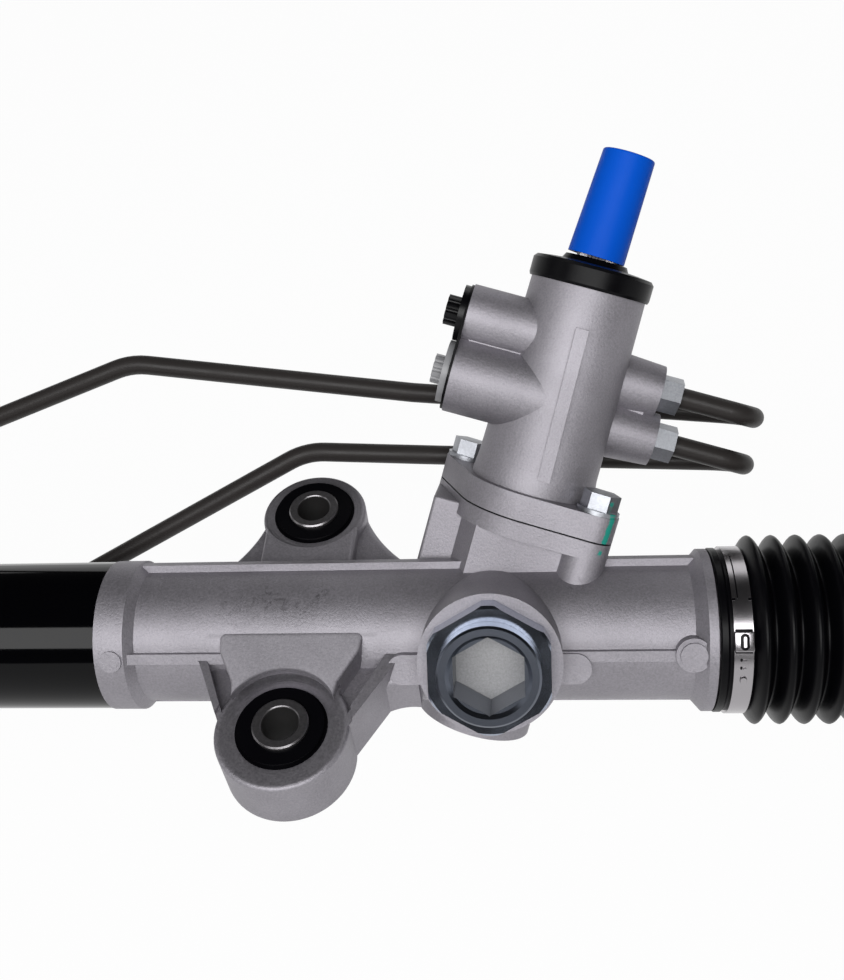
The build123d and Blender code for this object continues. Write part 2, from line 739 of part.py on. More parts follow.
with BuildPart() as valve_sleeve:
    rod(tower(collar_top), valve_sleeve_r, sleeve_end - collar_top)
    for s in ring_spots:
        turned(tower_section, pinion_axis,
               rectangle(ring_groove_r, valve_sleeve_r + 1, s, s + ring_width), mode=Mode.SUBTRACT)
    for s in ring_spots[:-1]:
        turned(tower_section, pinion_axis,
               rectangle(ring_groove_r, valve_sleeve_r + 1, s + 6, s + 11), mode=Mode.SUBTRACT)
    rod(tower(collar_top - 1), shaft_r + 0.05, sleeve_end, mode=Mode.SUBTRACT)

valve_sleeve.part.label = "valve_sleeve"
export_step(valve_sleeve.part, "parts/valve_sleeve.step")

with BuildPart() as sleeve_rings:
    for s in ring_spots:
        turned(tower_section, pinion_axis,
               rectangle(ring_groove_r + clearance, sleeve_bore_r - clearance,
                         s + clearance, s + ring_width - clearance))

sleeve_rings.part.label = "sleeve_rings"
export_step(sleeve_rings.part, "parts/sleeve_rings.step")

upper_r = 15.5
upper_seat = 115.0
upper_bearing_height = 11.5
seal_seat = 127.0
seal_height = 7.5

with BuildPart() as upper_bearing:
    rod(tower(upper_seat), upper_r, upper_bearing_height)
    rod(tower(upper_seat - 1), shaft_r + clearance, upper_bearing_height + 2, mode=Mode.SUBTRACT)

upper_bearing.part.label = "upper_bearing"
export_step(upper_bearing.part, "parts/upper_bearing.step")

with BuildPart() as shaft_seal:
    rod(tower(seal_seat), upper_r, seal_height)
    rod(tower(seal_seat - 1), shaft_r + clearance, seal_height + 2, mode=Mode.SUBTRACT)

shaft_seal.part.label = "shaft_seal"
export_step(shaft_seal.part, "parts/shaft_seal.step")

cover_r = 22.7
cover_skirt = 3.4

with BuildPart() as dust_cover:
    turned(tower_section, pinion_axis,
           [(valve_top_r + clearance, valve_top - cover_skirt), (cover_r - 0.4, valve_top - cover_skirt),
            (cover_r, valve_top - cover_skirt + 1), (cover_r, valve_top + 3.4),
            (cover_r - 1.1, valve_top + 4.6), (17.0, shaft_shoulder - 2.2),
            (12.5, shaft_shoulder - 1.8), (11.5, shaft_shoulder),
            (shaft_r + clearance, shaft_shoulder),
            (shaft_r + clearance, valve_top + clearance), (valve_top_r + clearance, valve_top + clearance)])

dust_cover.part.label = "dust_cover"
export_step(dust_cover.part, "parts/dust_cover.step")

# ---- valve housing -----------------------------------------------------------------------
gasket = 0.6
body_foot = 40.0            # end of the spigot in the rack housing
bolt_slack_r = bolt_r + 0.1
bolt_way_height = 12.0
inlet_depth = 26.0
line_depth = 24.0
body_bottom = tower_joint + gasket
valve_rib_foot = 2.2        # the rib leans across the body
valve_rib_head = 0.7
valve_rib = 4.6
valve_rib_r = 23.9
valve_rib_from = 61.5
valve_rib_to = 117.5
inlets = [(feed_s, feed_k, feed_boss_r), (return_s, return_k, return_boss_r)]
lines = [(far_line_s, line_face_far), (near_line_s, line_face_near)]
plug_stem_r = 7.0
plug_depth = 9.0

with BuildPart() as valve_housing:
    turned(tower_section, pinion_axis,
           [(0, body_bottom), (valve_foot_r + 1.5, body_bottom), (valve_foot_r + 0.5, valve_flange_top + 3),
            (valve_foot_r, valve_flange_top + 8), (valve_top_r, valve_top - 4), (valve_top_r, valve_top),
            (0, valve_top)])
    with BuildSketch(tower(body_bottom)) as flange_outline:
        with BuildLine() as flange_edges:
            CenterArc((joint_shift_k, 0), joint_r, 0, 360)
            for spot in bolt_spots:
                CenterArc(spot, bolt_lobe_r, 0, 360)
        make_hull(flange_edges.edges())
    extrude(flange_outline.sketch, amount=valve_flange_top - body_bottom)
    for s, k, boss_r in inlets:
        rod(sideways(s, k, 0, sign=-1), boss_r, inlet_face)
    for s, face in lines:
        with BuildSketch(sideways(s, line_k, face, sign=-1)) as line_boss:
            Circle(line_boss_r)
        extrude(line_boss.sketch, amount=face, taper=-4)
    bar(sideways(far_line_s, line_k, line_face_far - 4, sign=-1),
        rectangle(-6, 6, near_line_s - far_line_s, 0), line_face_far - 4)
    bar(sideways(feed_s, feed_k, -inlet_face + 3),
        rectangle(-8, 8, 0, feed_s - return_s), inlet_face - 3)
    bar(tower_section,
        [(valve_rib_foot - valve_rib / 2, valve_rib_from), (valve_rib_foot + valve_rib / 2, valve_rib_from),
         (valve_rib_head + valve_rib / 2, valve_rib_to), (valve_rib_head - valve_rib / 2, valve_rib_to)],
        valve_rib_r)
    rod(tower(body_foot), main_bearing_r - clearance, body_bottom - body_foot + lap)
    rod(tower(body_foot - 1), sleeve_bore_r, upper_seat - body_foot + 1, mode=Mode.SUBTRACT)
    rod(tower(upper_seat - 2), upper_r + clearance, valve_top, mode=Mode.SUBTRACT)
    for spot in bolt_spots:
        with BuildSketch(tower(valve_flange_top + bolt_way_height)) as bolt_way:
            with Locations(spot):
                Circle(bolt_lobe_r)
        extrude(bolt_way.sketch, amount=-bolt_way_height, mode=Mode.SUBTRACT)
        with BuildSketch(tower(tower_joint)) as bolt_through:
            with Locations(spot):
                Circle(bolt_slack_r)
        extrude(bolt_through.sketch, amount=valve_flange_top - tower_joint + 1, mode=Mode.SUBTRACT)
    for s, k, boss_r in inlets:
        rod(sideways(s, k, -inlet_face), plug_stem_r + clearance, plug_depth, mode=Mode.SUBTRACT)
        rod(sideways(s, k, -inlet_face), pipe_r, inlet_depth, mode=Mode.SUBTRACT)
    for s, face in lines:
        rod(sideways(s, line_k, face, sign=-1), port_thread_r + clearance, port_depth, mode=Mode.SUBTRACT)
        rod(sideways(s, line_k, face, sign=-1), pipe_r / 2, line_depth, mode=Mode.SUBTRACT)

valve_housing.part.label = "valve_housing"
export_step(valve_housing.part, "parts/valve_housing.step")

with BuildPart() as flange_gasket:
    with BuildSketch(tower(tower_joint)) as gasket_outline:
        with BuildLine() as gasket_edges:
            CenterArc((joint_shift_k, 0), joint_r - 0.4, 0, 360)
            for spot in bolt_spots:
                CenterArc(spot, bolt_lobe_r - 0.4, 0, 360)
        make_hull(gasket_edges.edges())
        Circle(main_bearing_r + clearance, mode=Mode.SUBTRACT)
        with Locations(*bolt_spots):
            Circle(bolt_slack_r, mode=Mode.SUBTRACT)
    extrude(gasket_outline.sketch, amount=gasket)

flange_gasket.part.label = "flange_gasket"
export_step(flange_gasket.part, "parts/flange_gasket.step")

washer_height = 1.6
bolt_flats = 12.0
bolt_head_height = 6.0
bolt_length = 30.0
head_bottom = valve_flange_top + washer_height

with BuildPart() as flange_bolts:
    for k, e in bolt_spots:
        with BuildSketch(tower(head_bottom)) as bolt_head:
            with Locations((k, e)):
                RegularPolygon(bolt_flats / 2, 6, major_radius=False, rotation=20)
        extrude(bolt_head.sketch, amount=bolt_head_height)
        with BuildSketch(tower(head_bottom)) as bolt_shank:
            with Locations((k, e)):
                Circle(bolt_r)
        extrude(bolt_shank.sketch, amount=-bolt_length)

flange_bolts.part.label = "flange_bolts"
export_step(flange_bolts.part, "parts/flange_bolts.step")

with BuildPart() as flange_washers:
    with BuildSketch(tower(valve_flange_top)) as washer:
        with Locations(*bolt_spots):
            Circle(bolt_lobe_r - 0.3)
            Circle(bolt_r + clearance, mode=Mode.SUBTRACT)
    extrude(washer.sketch, amount=washer_height)

flange_washers.part.label = "flange_washers"
export_step(flange_washers.part, "parts/flange_washers.step")

# ---- shipping plugs and cap --------------------------------------------------------------
seal_plate = 1.0
plug_face = inlet_face + seal_plate
stem_length = 7.0

with BuildPart() as port_seal:
    with BuildSketch(sideways(feed_s, feed_k, -inlet_face, sign=-1)) as seal_outline:
        with BuildLine() as seal_edges:
            CenterArc((0, 0), feed_boss_r - 0.5, 0, 360)
            CenterArc((return_k - feed_k, return_s - feed_s), return_boss_r - 0.6, 0, 360)
        make_hull(seal_edges.edges())
        Circle(plug_stem_r + 0.1, mode=Mode.SUBTRACT)
        with Locations((return_k - feed_k, return_s - feed_s)):
            Circle(plug_stem_r + 0.1, mode=Mode.SUBTRACT)
    extrude(seal_outline.sketch, amount=seal_plate)

port_seal.part.label = "port_seal"
export_step(port_seal.part, "parts/port_seal.step")


def port_plug(s, k, flange_r, flange_height, knob_r, knob_height, flutes):
    """Disc with a fluted knob outside and a stem in the port."""
    rod(sideways(s, k, -plug_face, sign=-1), flange_r, flange_height)
    with BuildSketch(sideways(s, k, -plug_face - flange_height, sign=-1)) as knob:
        Circle(knob_r)
        with PolarLocations(knob_r, flutes):
            Circle(0.9, mode=Mode.SUBTRACT)
    extrude(knob.sketch, amount=knob_height)
    rod(sideways(s, k, -plug_face), plug_stem_r - clearance, stem_length + seal_plate)
    rod(sideways(s, k, -plug_face + stem_length + seal_plate, sign=-1), plug_stem_r - 2,
        stem_length, mode=Mode.SUBTRACT)


with BuildPart() as feed_port_plug:
    port_plug(feed_s, feed_k, 10.4, 2.2, 5.6, 5.0, 10)

feed_port_plug.part.label = "feed_port_plug"
export_step(feed_port_plug.part, "parts/feed_port_plug.step")

with BuildPart() as return_port_plug:
    port_plug(return_s, return_k, 11.6, 2.4, 5.5, 3.8, 10)

return_port_plug.part.label = "return_port_plug"
export_step(return_port_plug.part, "parts/return_port_plug.step")

cap_bottom = shaft_shoulder + 0.8
cap_height = 38.0
cap_foot_r = 10.7
cap_top_r = 9.65
cap_bore_r = 8.6
cap_lean = radians(2.2)
cap_shift = 0.45
cap_direction = S * cos(cap_lean) + E * sin(cap_lean)
cap_origin = tower_point(cap_bottom, 0, -cap_shift)
cap_plane = Plane(origin=cap_origin, x_dir=K, z_dir=cap_direction)

with BuildPart() as shipping_cap:
    with BuildSketch(cap_plane) as cap_foot:
        Circle(cap_foot_r)
    extrude(cap_foot.sketch, amount=cap_height, taper=degrees(atan((cap_foot_r - cap_top_r) / cap_height)))
    fillet(shipping_cap.edges().group_by(Axis(cap_origin, cap_direction))[-1], 0.8)
    rod(cap_plane, cap_bore_r, cap_height - 2.4, mode=Mode.SUBTRACT)

shipping_cap.part.label = "shipping_cap"
export_step(shipping_cap.part, "parts/shipping_cap.step")

# ---- transfer pipes ----------------------------------------------------------------------
pipe_bore_r = 2.8
pipe_drop = -52.0
nut_seat = 7.0

with BuildPart() as tube_nuts:
    for s, face in lines:
        hexagon(sideways(s, line_k, face), pipe_nut_flats, pipe_nut_length, turn=12)
        rod(sideways(s, line_k, face + lap, sign=-1), port_thread_r, port_depth - 1)
    for x, u in ports:
        with BuildSketch(facing(-port_face)) as nut_head:
            with Locations((x, u)):
                RegularPolygon(pipe_nut_flats / 2, 6, major_radius=False)
        extrude(nut_head.sketch, amount=-pipe_nut_length)
        with BuildSketch(facing(-port_face - lap)) as nut_thread:
            with Locations((x, u)):
                Circle(port_thread_r)
        extrude(nut_thread.sketch, amount=port_depth - 1)
    for s, face in lines:
        rod(sideways(s, line_k, face - 20), pipe_r + clearance, 40, mode=Mode.SUBTRACT)
    for x, u in ports:
        with BuildSketch(facing(-port_face - 20)) as nut_bore:
            with Locations((x, u)):
                Circle(pipe_r + clearance)
        extrude(nut_bore.sketch, amount=40, mode=Mode.SUBTRACT)

tube_nuts.part.label = "tube_nuts"
export_step(tube_nuts.part, "parts/tube_nuts.step")


def pipe(points, bends):
    """Bent tube of round section along a line of points."""
    with BuildLine() as route:
        FilletPolyline(*points, radius=bends)
    with BuildSketch(Plane(origin=route.line @ 0, z_dir=route.line % 0)) as ring:
        Circle(pipe_r)
        Circle(pipe_bore_r, mode=Mode.SUBTRACT)
    sweep(ring.sketch, path=route.line)


with BuildPart() as far_pipe:
    pipe([tower_point(far_line_s, line_k, line_face_far - nut_seat), tower_point(far_line_s, line_k, 75.5),
          rack_point(173, 73.6, pipe_drop), rack_point(40, 86.5, pipe_drop),
          rack_point(-78.5, 102.2, pipe_drop),
          rack_point(far_port_x, far_port_u, pipe_drop),
          rack_point(far_port_x, far_port_u, -port_face + nut_seat)],
         [11, 11, 30, 30, 9])

far_pipe.part.label = "far_pipe"
export_step(far_pipe.part, "parts/far_pipe.step")

with BuildPart() as near_pipe:
    pipe([tower_point(near_line_s, line_k, line_face_near - nut_seat),
          tower_point(near_line_s, line_k, 77.5), rack_point(169, 54.8, pipe_drop),
          rack_point(53, 60, pipe_drop), rack_point(-6, 63, pipe_drop),
          rack_point(near_port_x, near_port_u, pipe_drop),
          rack_point(near_port_x, near_port_u, -port_face + nut_seat)],
         [11, 11, 30, 30, 9])

near_pipe.part.label = "near_pipe"
export_step(near_pipe.part, "parts/near_pipe.step")

# ---- rack bar, piston and rings ----------------------------------------------------------
rack_right = spigot_end + stop_gap + travel
rack_left = tube_end - stop_gap - travel
stud_r = 8.0
stud_length = 14.0
tooth_slant = radians(helix - pinion_lean)      # rack teeth from square, in the flat
tooth_line = U * cos(tooth_slant) - X * sin(tooth_slant)
tooth_normal = X * cos(tooth_slant) + U * sin(tooth_slant)
groove_plane = Plane(origin=mesh_point - K * rack_pitch_depth, x_dir=tooth_normal, z_dir=tooth_line)
groove_step = pi * normal_module
groove_width = (pinion_tooth + backlash) * cos(radians(helix))
flank = tan(radians(pressure))
flat_depth = rack_pitch_depth + rack_addendum
flat_half = 95.0
groove_mouth = groove_width / 2 + (rack_addendum + lap) * flank
groove_root = groove_width / 2 - rack_dedendum * flank

with BuildPart() as rack_bar:
    rod(across(rack_left), rack_r, rack_right - rack_left)
    bar(across(mesh_x - flat_half), rectangle(-rack_r, rack_r, -rack_r - 1, -flat_depth), 2 * flat_half,
        mode=Mode.SUBTRACT)
    with BuildSketch(groove_plane) as grooves:
        for groove in range(rack_grooves):
            at = (groove - (rack_grooves - 1) / 2) * groove_step
            with BuildLine():
                Polyline((at - groove_mouth, rack_addendum + lap), (at + groove_mouth, rack_addendum + lap),
                         (at + groove_root, -rack_dedendum), (at - groove_root, -rack_dedendum), close=True)
            make_face()
    extrude(grooves.sketch, amount=2 * rack_r, both=True, mode=Mode.SUBTRACT)
    for x, turn in ((rack_left, 1), (rack_right, -1)):
        rod(across(x + turn * stud_length), stud_r + clearance, -turn * 2 * stud_length, mode=Mode.SUBTRACT)

rack_bar.part.label = "rack_bar"
export_step(rack_bar.part, "parts/rack_bar.step")

ring_inner_r = 21.0

with BuildPart() as piston:
    rod(across(piston_x - piston_width / 2), tube_bore_r - 0.5, piston_width)
    turned(rack_section, rack_axis,
           rectangle(piston_x - 3, piston_x + 3, ring_inner_r, tube_bore_r), mode=Mode.SUBTRACT)
    rod(across(piston_x - piston_width), rack_r + clearance, 2 * piston_width, mode=Mode.SUBTRACT)

piston.part.label = "piston"
export_step(piston.part, "parts/piston.step")

with BuildPart() as piston_ring:
    turned(rack_section, rack_axis,
           rectangle(piston_x - 3 + clearance, piston_x + 3 - clearance, ring_inner_r + clearance,
                     tube_bore_r - clearance))

piston_ring.part.label = "piston_ring"
export_step(piston_ring.part, "parts/piston_ring.step")

# ---- inner ball joints and tie rods ------------------------------------------------------
claw = 1.5
lip = 14.0                  # socket mouth beyond the ball centre
mouth = 9.0                 # start of the socket mouth
seat_front = 7.4
seat_back = 6.5
seat_cones = 7
cavity_r = ball_r + seat_wall
ball_right = rack_right + ball_offset
ball_left = rack_left - ball_offset
thread_length = 40.0
thread_r = rod_r - 0.5
engaged_r = thread_r - 0.49  # pitch line, where the jam nut and the rod meet
jam_nut_flats = 22.0
jam_nut_at = rod_length - thread_length + 3
jam_nut_height = 8.0
free_thread_at = jam_nut_at + jam_nut_height + 1


def ball_socket(rack_x, ball_x, side):
    """Socket screwed into one end of the rack; side is +1 to the right."""
    rod(across(rack_x + side * claw), socket_r, side * (ball_offset + lip - claw))
    rod(across(rack_x + side * (claw + lap)), stud_r, -side * (stud_length + claw - 0.5))
    turned(rack_section, rack_axis,
           [(ball_x, 0), (ball_x + side * mouth, 0), (ball_x + side * (lip + 1), 0),
            (ball_x + side * (lip + 1), cavity_r + 0.8),
            (ball_x + side * mouth, sqrt((cavity_r + 0.05) ** 2 - mouth ** 2)), (ball_x, 1)],
           mode=Mode.SUBTRACT)
    with Locations(rack_point(ball_x, 0, 0)):
        Sphere(cavity_r + 0.05, mode=Mode.SUBTRACT)


with BuildPart() as ball_sockets:
    ball_socket(rack_right, ball_right, 1)
    ball_socket(rack_left, ball_left, -1)

ball_sockets.part.label = "ball_sockets"
export_step(ball_sockets.part, "parts/ball_sockets.step")

with BuildPart() as claw_washers:
    for x, side in ((rack_right, 1), (rack_left, -1)):
        rod(across(x), socket_r - 2, side * claw)
        rod(across(x - side * claw), stud_r + clearance, side * 3 * claw, mode=Mode.SUBTRACT)

claw_washers.part.label = "claw_washers"
export_step(claw_washers.part, "parts/claw_washers.step")


def ball_seat(ball_x, side):
    """Plastic shell between the ball and its socket, moulded in short cones."""
    start = -asin(seat_back / cavity_r)
    step = (asin(seat_front / cavity_r) - start) / seat_cones
    inner = (ball_r + 0.05) / cos(step / 2)
    angles = [start + i * step for i in range(seat_cones + 1)]
    outside = [(ball_x + side * cavity_r * sin(a), cavity_r * cos(a)) for a in angles]
    inside = [(ball_x + side * inner * sin(a), inner * cos(a)) for a in reversed(angles)]
    turned(rack_section, rack_axis, outside + inside)


with BuildPart() as ball_seat_right:
    ball_seat(ball_right, 1)

ball_seat_right.part.label = "ball_seat_right"
export_step(ball_seat_right.part, "parts/ball_seat_right.step")

with BuildPart() as ball_seat_left:
    ball_seat(ball_left, -1)

ball_seat_left.part.label = "ball_seat_left"
export_step(ball_seat_left.part, "parts/ball_seat_left.step")


def along_rod(ball_x, side, at):
    """Plane square to a tie rod, at a distance from its ball centre."""
    droop = radians(rod_droop)
    direction = Vector(side * cos(droop), 0, -sin(droop))
    return Plane(origin=rack_point(ball_x, 0, 0) + direction * at, x_dir=(0, 1, 0), z_dir=direction)


def tie_rod(ball_x, side):
    """Ball, neck, shank and threaded end."""
    centre = along_rod(ball_x, side, 0)
    with Locations(centre.origin):
        Sphere(ball_r)
    section = Plane(origin=centre.origin, x_dir=centre.z_dir, z_dir=(0, -1, 0))
    turned(section, Axis(centre.origin, centre.z_dir),
           [(0, 0), (4, neck_r), (24, neck_r), (30, rod_r), (rod_length - thread_length, rod_r),
            (rod_length - thread_length + 1, engaged_r), (free_thread_at - 0.5, engaged_r),
            (free_thread_at, thread_r), (rod_length - 1, thread_r),
            (rod_length, thread_r - 1), (rod_length, 0)])


with BuildPart() as tie_rod_right:
    tie_rod(ball_right, 1)

tie_rod_right.part.label = "tie_rod_right"
export_step(tie_rod_right.part, "parts/tie_rod_right.step")

with BuildPart() as tie_rod_left:
    tie_rod(ball_left, -1)

tie_rod_left.part.label = "tie_rod_left"
export_step(tie_rod_left.part, "parts/tie_rod_left.step")


def jam_nut(ball_x, side):
    """Nut on the threaded end of a tie rod."""
    hexagon(along_rod(ball_x, side, jam_nut_at), jam_nut_flats, jam_nut_height)
    rod(along_rod(ball_x, side, jam_nut_at - 1), engaged_r + clearance, jam_nut_height + 2,
        mode=Mode.SUBTRACT)


with BuildPart() as jam_nut_right:
    jam_nut(ball_right, 1)

jam_nut_right.part.label = "jam_nut_right"
export_step(jam_nut_right.part, "parts/jam_nut_right.step")

with BuildPart() as jam_nut_left:
    jam_nut(ball_left, -1)

jam_nut_left.part.label = "jam_nut_left"
export_step(jam_nut_left.part, "parts/jam_nut_left.step")

# ---- boots and their clamps --------------------------------------------------------------
cuff_length = 17.0
cuff_start = 0.7            # gap from the flange to the cuff
full_crests = 6
first_crest = 21.2          # first crest beyond the flange face
neck_start = 144.7
cuff_end = 158.7
band = (4.9, 11.5)
band_r = spigot_r + cuff_wall
clip_r = rod_r + cuff_wall
rod_room = 0.45             # small cuff's bore clears the hanging tie rod


def crest_radius(wave):
    slope = (boot_crest_r - boot_small_crest_r) / (boot_waves - full_crests)
    return boot_crest_r - slope * max(0, wave + 1 - full_crests)


def boot_outline():
    """Closed outline (distance from the end face, radius) of the bellows."""
    inner = spigot_r + 2 * clearance
    points = [(cuff_start, inner), (cuff_start, band_r + 0.7), (cuff_start + 2.6, band_r + 0.7),
              (cuff_start + 2.9, band_r), (cuff_length, band_r)]
    for wave in range(boot_waves):
        crest_at = first_crest + wave * boot_pitch
        points.append((crest_at, crest_radius(wave)))
        if wave < boot_waves - 1:
            valley_r = (crest_radius(wave) + crest_radius(wave + 1)) / 2 - boot_depth
            points.append((crest_at + boot_pitch / 2, valley_r))
    points += [(neck_start - 5, boot_small_crest_r - boot_depth), (neck_start, clip_r), (cuff_end, clip_r),
               (cuff_end, rod_r + rod_room), (neck_start, rod_r + rod_room),
               (neck_start - 6, boot_small_crest_r - boot_depth - 2.4), (neck_start - 22, 19.3),
               (first_crest + full_crests * boot_pitch, boot_crest_r - boot_depth - boot_wall),
               (cuff_length + 1, inner)]
    return points


def boot(face, side):
    """Bellows from an end face outward; side is +1 to the right."""
    turned(rack_section, rack_axis, [(face + side * at, radius) for at, radius in boot_outline()])


def ring(face, side, start, end, inner_r, outer_r):
    turned(rack_section, rack_axis, rectangle(face + side * start, face + side * end, inner_r, outer_r))


with BuildPart() as boot_right:
    boot(flange_face, 1)

boot_right.part.label = "boot_right"
export_step(boot_right.part, "parts/boot_right.step")

with BuildPart() as boot_left:
    boot(tube_end + cuff_seat, -1)

boot_left.part.label = "boot_left"
export_step(boot_left.part, "parts/boot_left.step")

band_thickness = 1.2

with BuildPart() as boot_clamp_right:
    ring(flange_face, 1, *band, band_r + clearance, band_r + band_thickness)

boot_clamp_right.part.label = "boot_clamp_right"
export_step(boot_clamp_right.part, "parts/boot_clamp_right.step")

with BuildPart() as boot_clamp_left:
    ring(tube_end + cuff_seat, -1, *band, band_r + clearance, band_r + band_thickness)

boot_clamp_left.part.label = "boot_clamp_left"
export_step(boot_clamp_left.part, "parts/boot_clamp_left.step")

clip_at = (neck_start + 5, neck_start + 9)

with BuildPart() as boot_clip_right:
    ring(flange_face, 1, *clip_at, clip_r + clearance, clip_r + 1)

boot_clip_right.part.label = "boot_clip_right"
export_step(boot_clip_right.part, "parts/boot_clip_right.step")

with BuildPart() as boot_clip_left:
    ring(tube_end + cuff_seat, -1, *clip_at, clip_r + clearance, clip_r + 1)

boot_clip_left.part.label = "boot_clip_left"
export_step(boot_clip_left.part, "parts/boot_clip_left.step")
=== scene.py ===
import json
from math import cos, pi, radians, sin

import bmesh
import bpy
from mathutils import Matrix, Vector


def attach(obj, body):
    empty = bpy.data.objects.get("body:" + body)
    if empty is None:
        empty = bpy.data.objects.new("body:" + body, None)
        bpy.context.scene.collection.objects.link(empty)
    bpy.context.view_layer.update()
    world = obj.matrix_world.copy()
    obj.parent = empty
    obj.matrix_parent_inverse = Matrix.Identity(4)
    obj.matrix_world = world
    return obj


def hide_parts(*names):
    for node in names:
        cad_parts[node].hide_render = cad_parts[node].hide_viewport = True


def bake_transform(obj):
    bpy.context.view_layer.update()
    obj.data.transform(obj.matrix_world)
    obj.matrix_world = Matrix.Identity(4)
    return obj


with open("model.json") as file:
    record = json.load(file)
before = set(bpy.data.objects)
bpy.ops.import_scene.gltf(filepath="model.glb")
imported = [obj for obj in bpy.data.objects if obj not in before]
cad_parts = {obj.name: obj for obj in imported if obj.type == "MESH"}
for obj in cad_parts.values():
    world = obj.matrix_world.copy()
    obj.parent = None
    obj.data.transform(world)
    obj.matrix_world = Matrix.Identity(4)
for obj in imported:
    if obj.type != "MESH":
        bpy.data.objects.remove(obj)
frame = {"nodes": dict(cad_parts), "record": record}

bl_info = {
    "name": "Steering rack finish",
    "version": (1, 0, 0),
    "blender": (4, 5, 0),
    "location": "3D View > Sidebar > Steering rack",
    "description": "Finishes, bellows, clamps, threads and stage for the steering rack",
    "category": "Object",
}

# Directions of the casting, as in the CAD model: X along the rack, K along the guide plug from
# the rack to its face, and U square to both.  RACK is a place on the rack's line.
X = Vector((1, 0, 0))
TILT = radians(53.5)
U = Vector((0, cos(TILT), sin(TILT)))
K = Vector((0, -sin(TILT), cos(TILT)))
RACK = Vector((0, 0, 0.0127))
GUIDE = RACK + X * 0.0722   # where the guide plug's line meets the rack's

# Places that the finishes follow: ears and sleeves, the web's flat top, the guide plug's socket.
EAR_FACE = 0.0261           # height of the turned ring round each bush
EAR_RING_R = 0.0220
EAR_REACH = 0.05            # from the rack's line to a bush
FAR_EAR = -0.27             # x of the far bracket's ear
SLEEVE_BORE_R = 0.00666
PAD_LEVEL = 0.0331          # height of the web's flat top
PAD_BACK = -0.0157
PAD_HALF_WIDTH = 0.031
PLUG_FLOOR = 0.0348         # from the rack's line, along K

# Tie rods: their droop, and their free threads, measured from the ball centre.
ROD_DROOP = radians(0.5)
THREAD_START = 0.2380
THREAD_LENGTH = 0.0262
THREAD_R = 0.0070

# Ends and widths of the paint strokes, and centres and sizes of the scuffs on the barrel.
PAINT_STROKES = (((0.1172, 0.0212, 0.0600), (0.1166, 0.0178, 0.0561), 0.0016),
                 ((0.1166, 0.0178, 0.0561), (0.1128, 0.0116, 0.0483), 0.0014),
                 ((0.1121, 0.0098, 0.0469), (0.1114, 0.0088, 0.0457), 0.0009))
SCUFFS = (((-0.0204, -0.0060, 0.0373), 0.009), ((-0.0095, -0.0030, 0.0376), 0.008),
          ((0.0015, -0.0062, 0.0371), 0.009), ((0.0097, -0.0020, 0.0376), 0.006),
          ((0.1027, 0.0016, 0.0379), 0.004))

# The camera: its place, its right, up and back directions, and its lens in millimetres.
CAMERA_PLACE = (0.08699, -0.25220, 0.35801)
CAMERA_AXES = ((0.9952243, 0.0501241, -0.0837629),
               (0.0210208, 0.7279154, 0.6853447),
               (0.0953246, -0.6838324, 0.7233854))
CAMERA_LENS = 41.12
SENSOR_WIDTH = 36

# The stage: half sizes and heights of floor and ceiling, then each lamp's name, place, target,
# size and power.
FLOOR_REACH = 6
FLOOR_LEVEL = -0.16
CEILING_REACH = 8
CEILING_LEVEL = 1.35
LAMPS = (("Key", (-0.03, -0.68, 0.75), (0.03, 0, 0.02), (1.2, 0.55), 12.5),
         ("Back", (0.35, 1.10, 0.75), (0.03, 0, 0), (0.9, 0.6), 2.5),
         ("Left", (-1.30, -0.20, 0.70), (0, 0, 0), (0.6, 0.6), 1.2))

# The end face that each boot starts from with the side it faces, and the ball centres.
BOOTS = {"right": (0.1513, 1), "left": (-0.3420, -1)}
BALLS = {"right": 0.2615, "left": -0.4530}

# Boots and clamps: distances are from the end face, radii from the rack's line.
CUFF_CLEAR = 0.0007
CUFF_LIP_R = 0.0302
CUFF_BORE_R = 0.0271
FIRST_CREST = 0.0155
NECK = 0.1447               # where the boot meets the small cuff
SMALL_CUFF_END = 0.1587
SMALL_CUFF_R = 0.0100
SMALL_CUFF_BORE_R = 0.0080
WAVE_SEGMENTS = 14          # along each fold
BELLOWS_SIDES = 112
BAND_MIDDLE = 0.0082
BAND_HALF_WIDTH = 0.0033
BAND_R = 0.0307


